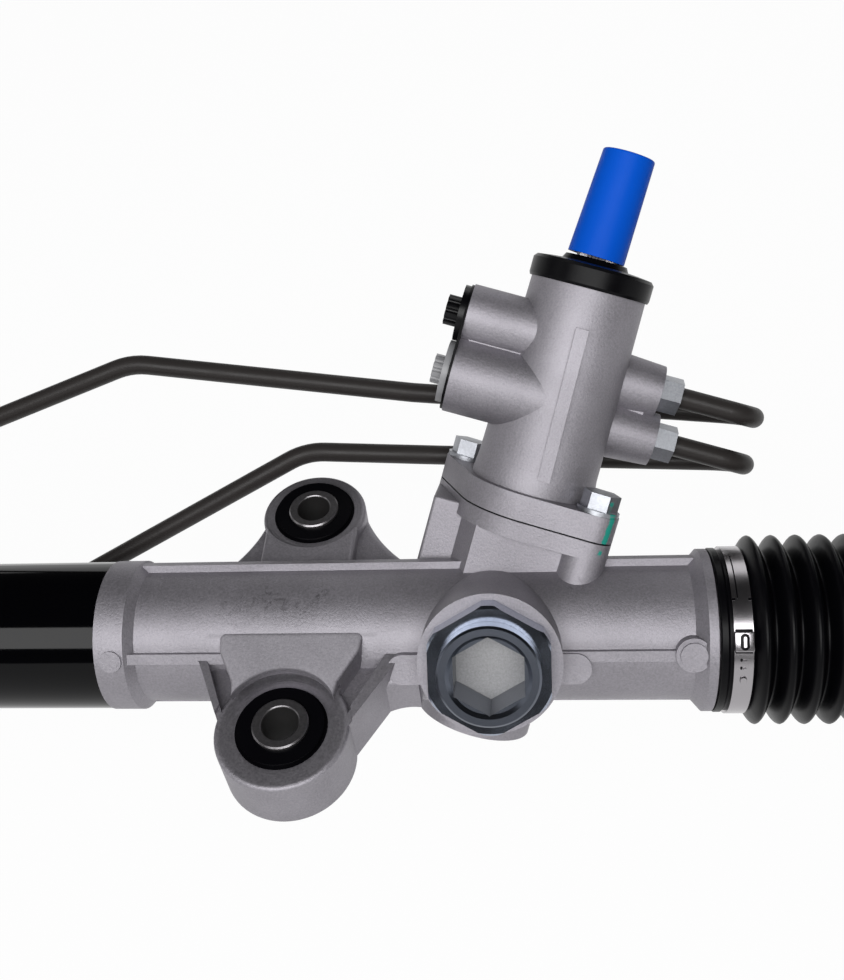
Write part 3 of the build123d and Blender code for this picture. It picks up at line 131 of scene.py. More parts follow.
class RackSettings(bpy.types.PropertyGroup):
    """Sizes in metres and finishes of the steering rack's visual pieces."""

    cast_colour: bpy.props.FloatVectorProperty(
        name="Casting", description="Colour of the sand-cast aluminium", subtype="COLOR",
        size=3, min=0, max=1, default=(0.31, 0.297, 0.324))
    cast_grain: bpy.props.FloatProperty(
        name="Casting grain", description="Size of the sand grain", default=0.0008, min=0.0001)
    machined_colour: bpy.props.FloatVectorProperty(
        name="Machined aluminium", description="Colour of turned and milled aluminium", subtype="COLOR",
        size=3, min=0, max=1, default=(0.40, 0.40, 0.41))
    paint_colour: bpy.props.FloatVectorProperty(
        name="Cylinder paint", description="Gloss paint of the steel cylinder", subtype="COLOR",
        size=3, min=0, max=1, default=(0.0008, 0.0008, 0.0012))
    zinc_colour: bpy.props.FloatVectorProperty(
        name="Zinc plate", description="Colour of plated nuts and bolts", subtype="COLOR",
        size=3, min=0, max=1, default=(0.33, 0.34, 0.365))
    steel_colour: bpy.props.FloatVectorProperty(
        name="Steel", description="Colour of bare steel", subtype="COLOR",
        size=3, min=0, max=1, default=(0.20, 0.192, 0.20))
    band_colour: bpy.props.FloatVectorProperty(
        name="Clamp band", description="Colour of the stainless clamps", subtype="COLOR",
        size=3, min=0, max=1, default=(0.36, 0.345, 0.36))
    pipe_colour: bpy.props.FloatVectorProperty(
        name="Pipe coating", description="Colour of the coated transfer pipes", subtype="COLOR",
        size=3, min=0, max=1, default=(0.026, 0.023, 0.022))
    rubber_colour: bpy.props.FloatVectorProperty(
        name="Rubber", description="Colour of boots, bushes and seals", subtype="COLOR",
        size=3, min=0, max=1, default=(0.0014, 0.0013, 0.0020))
    cap_colour: bpy.props.FloatVectorProperty(
        name="Shipping cap", description="Colour of the cap on the input shaft", subtype="COLOR",
        size=3, min=0, max=1, default=(0.0015, 0.085, 0.560))
    nut_colour: bpy.props.FloatVectorProperty(
        name="Lock nut", description="Colour of the plated lock nut of the guide plug", subtype="COLOR",
        size=3, min=0, max=1, default=(0.30, 0.33, 0.40))
    plug_colour: bpy.props.FloatVectorProperty(
        name="Return plug", description="Colour of the grey port plug", subtype="COLOR",
        size=3, min=0, max=1, default=(0.25, 0.25, 0.26))
    mark_colour: bpy.props.FloatVectorProperty(
        name="Witness paint", description="Colour of the paint dabs on bolt and flange", subtype="COLOR",
        size=3, min=0, max=1, default=(0.005, 0.26, 0.20))

    waves: bpy.props.IntProperty(
        name="Boot waves", description="Folds of each bellows", default=14, min=2, max=40)
    full_waves: bpy.props.IntProperty(
        name="Full waves", description="Folds before the bellows narrows", default=6, min=1, max=40)
    wave_pitch: bpy.props.FloatProperty(
        name="Wave pitch", description="Distance from fold to fold", default=0.0088, min=0.002)
    crest_radius: bpy.props.FloatProperty(
        name="Crest radius", description="Largest radius of the bellows", default=0.0346, min=0.01)
    small_radius: bpy.props.FloatProperty(
        name="Last crest radius", description="Radius of the last fold", default=0.0275, min=0.01)
    wave_depth: bpy.props.FloatProperty(
        name="Wave depth", description="Depth of a fold", default=0.0075, min=0.001)
    cuff_radius: bpy.props.FloatProperty(
        name="Cuff radius", description="Outer radius of the boot's large cuff", default=0.0295, min=0.01)
    ear_angle: bpy.props.FloatProperty(
        name="Ear angle", description="Where the clamp's ear sits round the cuff, in degrees", default=9.3)
    thread_pitch: bpy.props.FloatProperty(
        name="Thread pitch", description="Pitch of the tie-rod thread", default=0.0015, min=0.0005)


def settings():
    """Sizes and finishes of this scene."""
    return bpy.context.scene.steering_rack


# ---- small mesh and node helpers ---------------------------------------------------------
def finished(name, mesh, body, stand_in=()):
    """Link a mesh as an object at the origin and let it ride on a CAD body."""
    mesh.polygons.foreach_set("use_smooth", [True] * len(mesh.polygons))
    piece = bpy.data.objects.new(name, mesh)
    bpy.context.collection.objects.link(piece)
    if body:
        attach(piece, body)
    if stand_in:
        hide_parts(*stand_in)
    return piece


def ring_faces(first, second, steps):
    """Faces between two rings of vertices, given by their first numbers."""
    return [(first + i, first + (i + 1) % steps, second + (i + 1) % steps, second + i)
            for i in range(steps)]


def mesh_of(name, verts, faces):
    """Mesh whose faces all look outwards."""
    mesh = bpy.data.meshes.new(name)
    mesh.from_pydata(verts, [], faces)
    mesh.validate()
    bm = bmesh.new()
    bm.from_mesh(mesh)
    bmesh.ops.recalc_face_normals(bm, faces=bm.faces)
    bm.to_mesh(mesh)
    bm.free()
    return mesh


def lathe(name, points, closed=True, steps=96):
    """Mesh turned about the rack's line: points are (distance along, radius) in metres."""
    verts = []
    for along, radius in points:
        for i in range(steps):
            a = 2 * pi * i / steps
            verts.append(RACK + X * along + (K * cos(a) + X.cross(K) * sin(a)) * radius)
    rings = [steps * number for number in range(len(points))]
    faces = []
    for first, second in zip(rings, rings[1:] + (rings[:1] if closed else [])):
        faces += ring_faces(first, second, steps)
    return mesh_of(name, verts, faces)


def sharpen(mesh, degrees=32):
    """Smooth shading with hard edges above an angle."""
    mesh.polygons.foreach_set("use_smooth", [True] * len(mesh.polygons))
    mesh.set_sharp_from_angle(angle=radians(degrees))
    return mesh


def block(name, centre, a, b, c, size, edge):
    """Box with sides along a, b and c, its edges rounded by a bevel."""
    mesh = bpy.data.meshes.new(name)
    bm = bmesh.new()
    bmesh.ops.create_cube(bm, size=1.0)
    for v in bm.verts:
        v.co = Vector((v.co.x * size[0], v.co.y * size[1], v.co.z * size[2]))
    bmesh.ops.bevel(bm, geom=bm.edges[:], offset=edge, segments=2, affect="EDGES", profile=0.5)
    turn = Matrix((a, b, c)).transposed().to_4x4()
    bmesh.ops.transform(bm, matrix=Matrix.Translation(centre) @ turn, verts=bm.verts)
    bmesh.ops.recalc_face_normals(bm, faces=bm.faces)
    bm.to_mesh(mesh)
    bm.free()
    return sharpen(mesh)


class Tree:
    """Short calls for building a node tree."""

    def __init__(self, tree):
        self.tree = tree

    def add(self, kind, **values):
        """New node with these properties."""
        node = self.tree.nodes.new(kind)
        for key, value in values.items():
            setattr(node, key, value)
        return node

    def put(self, value, socket):
        """Link a socket to another, or set its value; None leaves it."""
        if isinstance(value, bpy.types.NodeSocket):
            self.tree.links.new(value, socket)
        elif value is not None:
            socket.default_value = value

    def math(self, operation, a, b=None):
        """Maths node, for its value."""
        node = self.add("ShaderNodeMath", operation=operation)
        self.put(a, node.inputs[0])
        self.put(b, node.inputs[1])
        return node.outputs[0]

    def vector(self, operation, a, b=None):
        """Vector maths node, for its vector or its value."""
        node = self.add("ShaderNodeVectorMath", operation=operation)
        self.put(a, node.inputs[0])
        self.put(b, node.inputs["Scale" if operation == "SCALE" else 1])
        return node

    def parts(self, place):
        """The x, y and z of a vector."""
        node = self.add("ShaderNodeSeparateXYZ")
        self.put(place, node.inputs[0])
        return node.outputs

    def length(self, a, b):
        """Length of the long side over a right angle."""
        total = self.math("ADD", self.math("MULTIPLY", a, a), self.math("MULTIPLY", b, b))
        return self.math("SQRT", total)


# ---- finishes ----------------------------------------------------------------------------
def shader(name):
    """New material: its tree, principled shader and object coordinates."""
    material = bpy.data.materials.new(name)
    material.use_nodes = True
    tree = Tree(material.node_tree)
    principled = material.node_tree.nodes["Principled BSDF"]
    coordinates = tree.add("ShaderNodeTexCoord").outputs["Object"]
    return material, tree, principled, coordinates


def noise(tree, coordinates, size, detail=3.0, roughness=0.6):
    """Noise whose features are about that size in metres."""
    node = tree.add("ShaderNodeTexNoise")
    tree.put(coordinates, node.inputs["Vector"])
    node.inputs["Scale"].default_value = 1 / size
    node.inputs["Detail"].default_value = detail
    node.inputs["Roughness"].default_value = roughness
    return node.outputs["Fac"]


def spread(tree, value, low, high, to_low, to_high):
    """Map a value from one range to another, clamped."""
    node = tree.add("ShaderNodeMapRange", clamp=True)
    tree.put(value, node.inputs["Value"])
    for key, number in (("From Min", low), ("From Max", high), ("To Min", to_low), ("To Max", to_high)):
        node.inputs[key].default_value = number
    return node.outputs["Result"]


def below(tree, value, edge, blur):
    """1 where a value is under an edge and 0 over it, with a ramp of blur each way."""
    return spread(tree, value, edge - blur, edge + blur, 1, 0)


def mixed(tree, factor, under, over):
    """Blend a colour, or the colour of a socket, with another by a factor."""
    node = tree.add("ShaderNodeMix", data_type="RGBA")
    tree.put(factor, node.inputs["Factor"])
    tree.put(under if isinstance(under, bpy.types.NodeSocket) else (*under, 1), node.inputs[6])
    tree.put((*over, 1), node.inputs[7])
    return node.outputs[2]


def bumped(tree, principled, height, strength, distance):
    """Give a shader fine relief from a height value."""
    node = tree.add("ShaderNodeBump")
    node.inputs["Strength"].default_value = strength
    node.inputs["Distance"].default_value = distance
    tree.put(height, node.inputs["Height"])
    tree.put(node.outputs["Normal"], principled.inputs["Normal"])


def plain(name, colour, roughness, metallic=0.0, ior=1.5, grain=0.0, relief=0.0):
    """Even finish with a slight change of roughness and, if asked, fine relief."""
    material, tree, principled, coordinates = shader(name)
    principled.inputs["Base Color"].default_value = (*colour, 1)
    principled.inputs["Metallic"].default_value = metallic
    principled.inputs["IOR"].default_value = ior
    cloud = noise(tree, coordinates, 0.012)
    rough = spread(tree, cloud, 0.3, 0.7, roughness * 0.85, roughness * 1.15)
    tree.put(rough, principled.inputs["Roughness"])
    if grain:
        bumped(tree, principled, noise(tree, coordinates, grain), 0.5, relief)
    return material


def near_line(tree, coordinates, start, end, width):
    """1 on a line from start to end, falling to 0 at width from it, with a ragged edge."""
    start, end = Vector(start), Vector(end)
    reach = (end - start).length
    run = (end - start).normalized()
    blur = 0.0004
    offset = tree.vector("SUBTRACT", coordinates, start).outputs[0]
    along = tree.vector("DOT_PRODUCT", offset, run).outputs["Value"]
    across = tree.vector("CROSS_PRODUCT", offset, run).outputs[0]
    away = tree.vector("LENGTH", across).outputs["Value"]
    ragged = tree.math("MULTIPLY", noise(tree, coordinates, 0.0016), width)
    away = tree.math("ADD", away, ragged)
    inside = spread(tree, away, width * 1.25, width * 1.5, 1, 0)
    first = spread(tree, along, -blur, blur, 0, 1)
    last = below(tree, along, reach, blur)
    return tree.math("MULTIPLY", inside, tree.math("MULTIPLY", first, last))


def near_point(tree, coordinates, centre, inner, outer):
    """1 within inner of a point, 0 beyond outer."""
    gap = tree.vector("DISTANCE", coordinates, Vector(centre)).outputs["Value"]
    return spread(tree, gap, inner, outer, 1, 0)


def witness_paint(tree, coordinates):
    """Mask of the paint dab that runs from a bolt's head over the flange's edge."""
    mask = None
    for start, end, width in PAINT_STROKES:
        stroke = near_line(tree, coordinates, start, end, width)
        mask = stroke if mask is None else tree.math("MAXIMUM", mask, stroke)
    return mask


def ear_distance(tree, along, y):
    """Distance from the centre of the nearer ear of a pair, from the place along the rack and y."""
    side = tree.math("SUBTRACT", tree.math("ABSOLUTE", y), EAR_REACH)
    return tree.length(side, along)


def at_level(tree, z, level, inner, outer):
    """1 within inner of a height, 0 beyond outer from it."""
    away = tree.math("ABSOLUTE", tree.math("SUBTRACT", z, level))
    return spread(tree, away, inner, outer, 1, 0)


def cast_material():
    """Sand-cast aluminium: grain, soft clouds, scuffs, turned ear faces and a dab of paint."""
    s = settings()
    material, tree, principled, coordinates = shader("Cast aluminium")
    colour = Vector(s.cast_colour)
    grain = noise(tree, coordinates, s.cast_grain, detail=4, roughness=0.7)
    cloud = noise(tree, coordinates, 0.03, detail=2)
    fleck = tree.math("ADD", tree.math("MULTIPLY", grain, 0.65), tree.math("MULTIPLY", cloud, 0.35))
    tone = mixed(tree, spread(tree, fleck, 0.36, 0.64, 0, 1), colour * 0.78, colour * 1.16)
    smear = noise(tree, coordinates, 0.0028, detail=5, roughness=0.8)
    for centre, reach in SCUFFS:
        region = near_point(tree, coordinates, centre, reach * 0.35, reach)
        mask = tree.math("MULTIPLY", region, spread(tree, smear, 0.53, 0.62, 0, 0.75))
        tone = mixed(tree, mask, tone, colour * 0.42)
    paint = witness_paint(tree, coordinates)
    tree.put(mixed(tree, paint, tone, s.mark_colour), principled.inputs["Base Color"])

    # The web's top is dull, and the ring round each bush is turned smooth with fine grooves.
    x, y, z = tree.parts(coordinates)
    matt = tree.math("MULTIPLY", at_level(tree, z, PAD_LEVEL, 0.0003, 0.0012),
                     below(tree, y, PAD_BACK, 0.0009))
    matt = tree.math("MULTIPLY", matt, below(tree, tree.math("ABSOLUTE", x), PAD_HALF_WIDTH, 0.001))
    metallic = tree.math("SUBTRACT", 0.85, tree.math("MULTIPLY", matt, 0.75))
    metallic = tree.math("MULTIPLY", metallic, tree.math("SUBTRACT", 1, paint))
    tree.put(metallic, principled.inputs["Metallic"])
    away = ear_distance(tree, x, y)
    turned = tree.math("MULTIPLY", at_level(tree, z, EAR_FACE, 0.0002, 0.0004),
                       below(tree, away, EAR_RING_R, 0.0005))
    rings = tree.math("SINE", tree.math("MULTIPLY", away, 2 * pi / 0.0011))
    rough = spread(tree, grain, 0.3, 0.7, 0.50, 0.62)
    rough = tree.math("ADD", rough, tree.math("MULTIPLY", matt, 0.2))
    rough = tree.math("SUBTRACT", rough, tree.math("MULTIPLY", turned, 0.14))
    tree.put(rough, principled.inputs["Roughness"])
    relief = tree.math("ADD", tree.math("MULTIPLY", grain, tree.math("SUBTRACT", 1, turned)),
                       tree.math("MULTIPLY", tree.math("MULTIPLY", rings, 0.06), turned))
    bumped(tree, principled, relief, 0.45, s.cast_grain * 0.40)
    return material


def machined_material():
    """Turned or milled aluminium with fine tool lines."""
    material, tree, principled, coordinates = shader("Machined aluminium")
    principled.inputs["Base Color"].default_value = (*settings().machined_colour, 1)
    principled.inputs["Metallic"].default_value = 0.85
    lines = tree.add("ShaderNodeTexWave", wave_type="RINGS", rings_direction="Z")
    tree.put(coordinates, lines.inputs["Vector"])
    lines.inputs["Scale"].default_value = 420
    cloud = noise(tree, coordinates, 0.004)
    tree.put(spread(tree, cloud, 0.3, 0.7, 0.25, 0.42), principled.inputs["Roughness"])
    bumped(tree, principled, lines.outputs["Fac"], 0.12, 0.0001)
    return material


def zinc_material(name, colour, polish):
    """Zinc plate with a fine mottle, and paint on one bolt; polish is its least roughness."""
    material, tree, principled, coordinates = shader(name)
    colour = Vector(colour)
    cloud = noise(tree, coordinates, 0.02, detail=2)
    mottle = noise(tree, coordinates, 0.0009, detail=4, roughness=0.75)
    tone = mixed(tree, spread(tree, mottle, 0.40, 0.66, 0, 1), colour * 0.92, colour * 1.15)
    paint = witness_paint(tree, coordinates)
    tree.put(mixed(tree, paint, tone, settings().mark_colour), principled.inputs["Base Color"])
    tree.put(spread(tree, paint, 0, 1, 1, 0), principled.inputs["Metallic"])
    tree.put(spread(tree, cloud, 0.35, 0.65, polish, polish * 1.5), principled.inputs["Roughness"])
    bumped(tree, principled, mottle, 0.15, 0.00006)
    return material


def sleeve_material():
    """Bush sleeves: turned steel faces round a bore painted near black as painted shade in the hole."""
    material, tree, principled, coordinates = shader("Bush sleeve")
    colour = Vector(settings().steel_colour)
    x, y, _ = tree.parts(coordinates)
    along = tree.math("MINIMUM", tree.math("ABSOLUTE", x),
                      tree.math("ABSOLUTE", tree.math("SUBTRACT", x, FAR_EAR)))
    # Painted shade: the bore's inner wall is painted near black and non-metallic to stand for the shade
    # inside the hole.
    bore_shade = below(tree, ear_distance(tree, along, y), SLEEVE_BORE_R, 0.00006)
    grain = noise(tree, coordinates, 0.0009, detail=4)
    tone = mixed(tree, spread(tree, grain, 0.35, 0.65, 0, 1), colour * 0.85, colour * 1.1)
    tree.put(mixed(tree, bore_shade, tone, (0.006, 0.005, 0.005)), principled.inputs["Base Color"])
    tree.put(spread(tree, bore_shade, 0, 1, 0.9, 0.0), principled.inputs["Metallic"])
    tree.put(spread(tree, bore_shade, 0, 1, 0.3, 0.7), principled.inputs["Roughness"])
    return material


def socket_material():
    """Guide plug: a matt aluminium floor in its hexagon socket, and darker polished walls."""
    s = settings()
    material, tree, principled, coordinates = shader("Guide plug")
    offset = tree.vector("SUBTRACT", coordinates, GUIDE).outputs[0]
    height = tree.vector("DOT_PRODUCT", offset, K).outputs["Value"]
    floor = below(tree, height, PLUG_FLOOR + 0.0004, 0.0002)
    grain = noise(tree, coordinates, 0.0007, detail=4, roughness=0.75)
    colour = Vector(s.machined_colour)
    tone = mixed(tree, spread(tree, grain, 0.35, 0.68, 0, 1), colour * 0.62, colour * 0.82)
    tone = mixed(tree, tree.math("SUBTRACT", 1, floor), tone, Vector(s.nut_colour) * 0.42)
    tree.put(tone, principled.inputs["Base Color"])
    tree.put(spread(tree, floor, 0, 1, 1, 0.4), principled.inputs["Metallic"])
    tree.put(spread(tree, floor, 0, 1, 0.28, 0.5), principled.inputs["Roughness"])
    bumped(tree, principled, grain, 0.2, 0.0001)
    return material


def slot_materials():
    """One material for each material slot of the record."""
    s = settings()
    return {
        "cast_aluminium": cast_material(),
        "machined_aluminium": machined_material(),
        "black_paint": plain("Black paint", s.paint_colour, 0.07, ior=1.24),
        "zinc_steel": zinc_material("Zinc plate", s.zinc_colour, 0.34),
        "steel": plain("Steel", s.steel_colour, 0.34, metallic=0.9, grain=0.0006, relief=0.00002),
        "stainless": plain("Stainless band", s.band_colour, 0.24, metallic=1.0),
        "pipe_coating": plain("Pipe coating", s.pipe_colour, 0.40, ior=1.28, grain=0.002, relief=0.0001),
        "rubber": plain("Rubber", s.rubber_colour, 0.34, ior=1.20, grain=0.0008, relief=0.00004),
        "blue_plastic": plain("Blue plastic", s.cap_colour, 0.45, ior=1.15, grain=0.001, relief=0.00002),
        "black_plastic": plain("Black plastic", s.rubber_colour, 0.30, ior=1.3),
        "grey_plastic": plain("Grey plastic", s.plug_colour, 0.38),
    }


def slot_material(name):
    """Material of a record slot; the first call makes them all."""
    if "Cast aluminium" not in bpy.data.materials:
        for slot, material in slot_materials().items():
            material["record_slot"] = slot
    return next(m for m in bpy.data.materials if m.get("record_slot") == name)


def finish_nodes(slots):
    """Give the CAD nodes of these record slots their finish."""
    for entry in frame["record"]["subparts"]:
        if entry["material_slot"] in slots:
            for slot in frame["nodes"][entry["node"]].material_slots:
                slot.material = slot_material(entry["material_slot"])


# ---- operators ---------------------------------------------------------------------------
class RACK_OT_castings(bpy.types.Operator):
    """Finish the aluminium castings and machined aluminium"""

    bl_idname = "rack.castings"
    bl_label = "Finish castings"

    def execute(self, context):
        finish_nodes({"cast_aluminium", "machined_aluminium"})
        return {"FINISHED"}


class RACK_OT_metals(bpy.types.Operator):
    """Finish steel, zinc-plated, stainless and coated pieces"""

    bl_idname = "rack.metals"
    bl_label = "Finish metals"

    def execute(self, context):
        finish_nodes({"black_paint", "zinc_steel", "steel", "stainless", "pipe_coating"})
        own = {"guide_plug": socket_material(), "bush_sleeves": sleeve_material(),
               "guide_lock_nut": zinc_material("Lock nut plate", settings().nut_colour, 0.12)}
        for name, material in own.items():
            frame["nodes"][name].material_slots[0].material = material
        return {"FINISHED"}


class RACK_OT_plastics(bpy.types.Operator):
    """Finish rubber and plastic pieces"""

    bl_idname = "rack.plastics"
    bl_label = "Finish rubber and plastics"

    def execute(self, context):
        finish_nodes({"rubber", "blue_plastic", "black_plastic", "grey_plastic"})
        return {"FINISHED"}


def grown(name, build, body, stand_in=()):
    """Run a Geometry Nodes tree built by build(tree) once and keep its mesh."""
    group = bpy.data.node_groups.new(name, "GeometryNodeTree")
    group.interface.new_socket("Geometry", in_out="OUTPUT", socket_type="NodeSocketGeometry")
    tree = Tree(group)
    shape = build(tree)
    tree.put(shape, tree.add("NodeGroupOutput").inputs[0])
    source = bpy.data.objects.new(name, bpy.data.meshes.new(name))
    bpy.context.collection.objects.link(source)
    source.modifiers.new("Build", "NODES").node_group = group
    graph = bpy.context.evaluated_depsgraph_get()
    mesh = bpy.data.meshes.new_from_object(source.evaluated_get(graph))
    mesh.name = name
    source.modifiers.clear()
    bpy.data.objects.remove(source)
    bpy.data.node_groups.remove(group)
    return finished(name, mesh, body, stand_in)


def dressed(tree, geometry, material):
    """Realize Instances and Set Material."""
    real = tree.add("GeometryNodeRealizeInstances")
    tree.put(geometry, real.inputs[0])
    paint = tree.add("GeometryNodeSetMaterial")
    tree.put(real.outputs[0], paint.inputs["Geometry"])
    paint.inputs["Material"].default_value = material
    return paint.outputs[0]


def bellows(tree, face, side, first, count):
    """Folds number first to first + count of a boot, as a tube whose radius follows the waves."""
    s = settings()
    tube = tree.add("GeometryNodeMeshCylinder", fill_type="NONE")
    tube.inputs["Vertices"].default_value = BELLOWS_SIDES
    tube.inputs["Side Segments"].default_value = count * WAVE_SEGMENTS
    tube.inputs["Radius"].default_value = 1
    tube.inputs["Depth"].default_value = count
    across, around, height = tree.parts(tree.add("GeometryNodeInputPosition").outputs[0])
    wave = tree.math("ADD", height, first + count / 2)

    # Each fold is a hump from one valley to the next, on crests that shrink after the full ones.
    phase = tree.math("FRACT", tree.math("ADD", wave, 1e-5))
    phase = tree.math("SUBTRACT", tree.math("MULTIPLY", phase, 2), 1)
    hump = tree.math("SUBTRACT", 1, tree.math("POWER", tree.math("ABSOLUTE", phase), 1.7))
    crest = spread(tree, wave, s.full_waves - 0.5, s.waves - 0.5, s.crest_radius, s.small_radius)
    valley = tree.math("MULTIPLY", tree.math("SUBTRACT", 1, hump), s.wave_depth)
    radius = tree.math("SUBTRACT", crest, valley)
    radius = tree.math("MAXIMUM", radius, spread(tree, wave, 0.45, 0.5, s.cuff_radius, 0))

    # The tube's own axes become K, U and the rack's line.
    along = tree.math("ADD", tree.math("MULTIPLY", wave, side * s.wave_pitch),
                      face + side * (FIRST_CREST - s.wave_pitch / 2))
    shift = tree.add("ShaderNodeCombineXYZ")
    tree.put(along, shift.inputs[0])
    shift.inputs[2].default_value = RACK.z
    arms = [tree.vector("SCALE", direction, tree.math("MULTIPLY", amount, radius)).outputs[0]
            for direction, amount in ((K, across), (U * side, around))]
    place = tree.vector("ADD", tree.vector("ADD", *arms).outputs[0], shift.outputs[0])
    move = tree.add("GeometryNodeSetPosition")
    tree.put(tube.outputs["Mesh"], move.inputs["Geometry"])
    tree.put(place.outputs[0], move.inputs["Position"])
    return dressed(tree, move.outputs[0], slot_material("rubber"))


class RACK_OT_boots(bpy.types.Operator):
    """Make both bellows boots with their cuffs, in place of the plain solids"""

    bl_idname = "rack.boots"
    bl_label = "Make boots"

    def execute(self, context):
        s = settings()
        rubber = slot_material("rubber")
        wave_start = FIRST_CREST - s.wave_pitch / 2
        wave_end = wave_start + s.waves * s.wave_pitch
        folds = s.waves - 1
        last = s.small_radius - s.wave_depth
        for name, (face, side) in BOOTS.items():
            node = "boot_" + name

            outline = [(CUFF_CLEAR, CUFF_BORE_R), (CUFF_CLEAR, CUFF_LIP_R - 0.0004), (0.0011, CUFF_LIP_R),
                       (0.0031, CUFF_LIP_R), (0.0036, CUFF_LIP_R - 0.0005), (0.0039, s.cuff_radius),
                       (wave_start, s.cuff_radius), (wave_start, CUFF_BORE_R + 0.0001)]
            cuff = lathe("Cuff_" + name, [(face + side * a, r) for a, r in outline])
            cuff.materials.append(rubber)
            finished("Cuff_" + name, sharpen(cuff), "housing", (node,))

            long = grown("Bellows_" + name, lambda t: bellows(t, face, side, 0, folds), None, (node,))
            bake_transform(long)
            end = grown("Last_fold_" + name, lambda t: bellows(t, face, side, folds, 1), None, (node,))
            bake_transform(end)

            outline = [(wave_end, last), (wave_end + 0.002, last - 0.0012), (NECK - 0.003, 0.0128),
                       (NECK, 0.0106), (NECK + 0.001, SMALL_CUFF_R), (SMALL_CUFF_END, SMALL_CUFF_R),
                       (SMALL_CUFF_END, SMALL_CUFF_BORE_R), (NECK + 0.001, SMALL_CUFF_BORE_R)]
            tip = lathe("Small_cuff_" + name, [(face + side * a, r) for a, r in outline], closed=False)
            tip.materials.append(rubber)
            tip = finished("Small_cuff_" + name, sharpen(tip), None, (node,))
            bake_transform(tip)
        return {"FINISHED"}


class Clamp:
    """One boot clamp.  Places on it go by distance from the end face, angle from K to U and radius."""

    def __init__(self, name, face, side):
        self.name, self.face, self.side = name, face, side

    def directions(self, angle):
        """Directions outwards and round the band at an angle in degrees."""
        a = radians(angle)
        return K * cos(a) + U * sin(a), -K * sin(a) + U * cos(a)

    def spot(self, distance, angle, radius):
        """Place on the band."""
        return RACK + X * (self.face + self.side * distance) + self.directions(angle)[0] * radius

    def plate(self, part, angle, radius, size, edge, material):
        """Flat piece on the band: size is along the rack, round the band and outwards."""
        out, around = self.directions(angle)
        name = part + "_" + self.name
        mesh = block(name, self.spot(BAND_MIDDLE, angle, radius), X, around, out, size, edge)
        self.finish(name, mesh, material)

    def oval(self, part, distance, angle, radius, size, height, material, ending=""):
        """Domed oval stud: size is half its width along the rack and half its length round it."""
        out, around = self.directions(angle)
        middle = self.spot(distance, angle, radius)
        flat = max(size[1] - size[0], 0)
        steps = 32
        domes = ((1.0, -0.0002), (1.0, height * 0.5), (0.86, height), (0.3, height * 1.05))
        verts = []
        for shrink, rise in domes:
            for i in range(steps):
                a = 2 * pi * i / steps
                along = sin(a) * size[0] * shrink + (flat if sin(a) >= 0 else -flat)
                verts.append(middle + X * cos(a) * size[0] * shrink + around * along + out * rise)
        faces = [tuple(range(3 * steps, 4 * steps)), tuple(reversed(range(steps)))]
        for ring in range(len(domes) - 1):
            faces += ring_faces(ring * steps, (ring + 1) * steps, steps)
        name = part + "_" + self.name + ending
        self.finish(name, sharpen(mesh_of(name, verts, faces), 50), material)

    def strip(self, part, edges, angles, radii, material, ending=""):
        """Strip round the band: edges are distances from the end face, radii inner and outer."""
        steps = max(4, int(abs(angles[1] - angles[0])))
        corners = [(edges[0], radii[0]), (edges[1], radii[0]), (edges[1], radii[1]), (edges[0], radii[1])]
        verts = []
        for i in range(steps + 1):
            angle = angles[0] + (angles[1] - angles[0]) * i / steps
            verts += [self.spot(distance, angle, radius) for distance, radius in corners]
        faces = [(3, 2, 1, 0), tuple(4 * steps + j for j in range(4))]
        for i in range(steps):
            faces += ring_faces(4 * i, 4 * i + 4, 4)
        name = part + "_" + self.name + ending
        self.finish(name, sharpen(mesh_of(name, verts, faces), 30), material)

    def finish(self, name, mesh, material):
        """Give a mesh its material and fix it to the housing."""
        mesh.materials.append(material)
        finished(name, mesh, "housing")


class RACK_OT_clamps(bpy.types.Operator):
    """Add the ear, tongue, notches and dimples of both large boot clamps"""

    bl_idname = "rack.clamps"
    bl_label = "Make clamp details"

    def execute(self, context):
        ear = settings().ear_angle
        steel = slot_material("stainless")
        dark = slot_material("rubber")
        top = BAND_R + 0.0016
        sunk = BAND_R - 0.0002
        for name, (face, side) in BOOTS.items():
            clamp = Clamp(name, face, side)
            clamp.plate("Clamp_ear", ear, BAND_R + 0.0007, (0.0067, 0.0072, 0.0018), 0.0006, steel)
            clamp.oval("Clamp_slot", BAND_MIDDLE, ear, top, (0.00155, 0.0029), 0.0002, dark)
            clamp.oval("Clamp_hook", BAND_MIDDLE, ear, top + 0.0002, (0.0006, 0.0020), 0.0003, steel)
            for foot, turn in (("foot", -7.2), ("head", 7.2)):
                clamp.plate("Clamp_ear_" + foot, ear + turn, BAND_R + 0.0001, (0.0060, 0.0007, 0.0006),
                            0.0002, dark)
            for ending, turn in (("_0", -13.0), ("_1", -18.6)):
                clamp.oval("Clamp_dimple", BAND_MIDDLE + 0.0003, ear + turn, BAND_R, (0.00055, 0.00055),
                           0.0004, steel, ending)
                clamp.oval("Clamp_pit", BAND_MIDDLE - 0.0009, ear + turn + 0.6, BAND_R, (0.0004, 0.0006),
                           0.0001, dark, ending)
            clamp.oval("Clamp_lug", BAND_MIDDLE, ear - 27.0, BAND_R, (0.0012, 0.0015), 0.0007, steel)
            clamp.strip("Clamp_tongue", (BAND_MIDDLE - 0.0016, BAND_MIDDLE - 0.0012),
                        (ear + 28, ear + 66), (sunk, BAND_R + 0.00015), dark)
            for ending, place in (("_inner", -1), ("_outer", 1)):
                middle = BAND_MIDDLE + place * (BAND_HALF_WIDTH - 0.0005)
                clamp.strip("Clamp_notch", (middle - 0.0006, middle + 0.0006),
                            (ear + 26.5, ear + 28), (sunk, BAND_R + 0.0002), dark, ending)
        return {"FINISHED"}


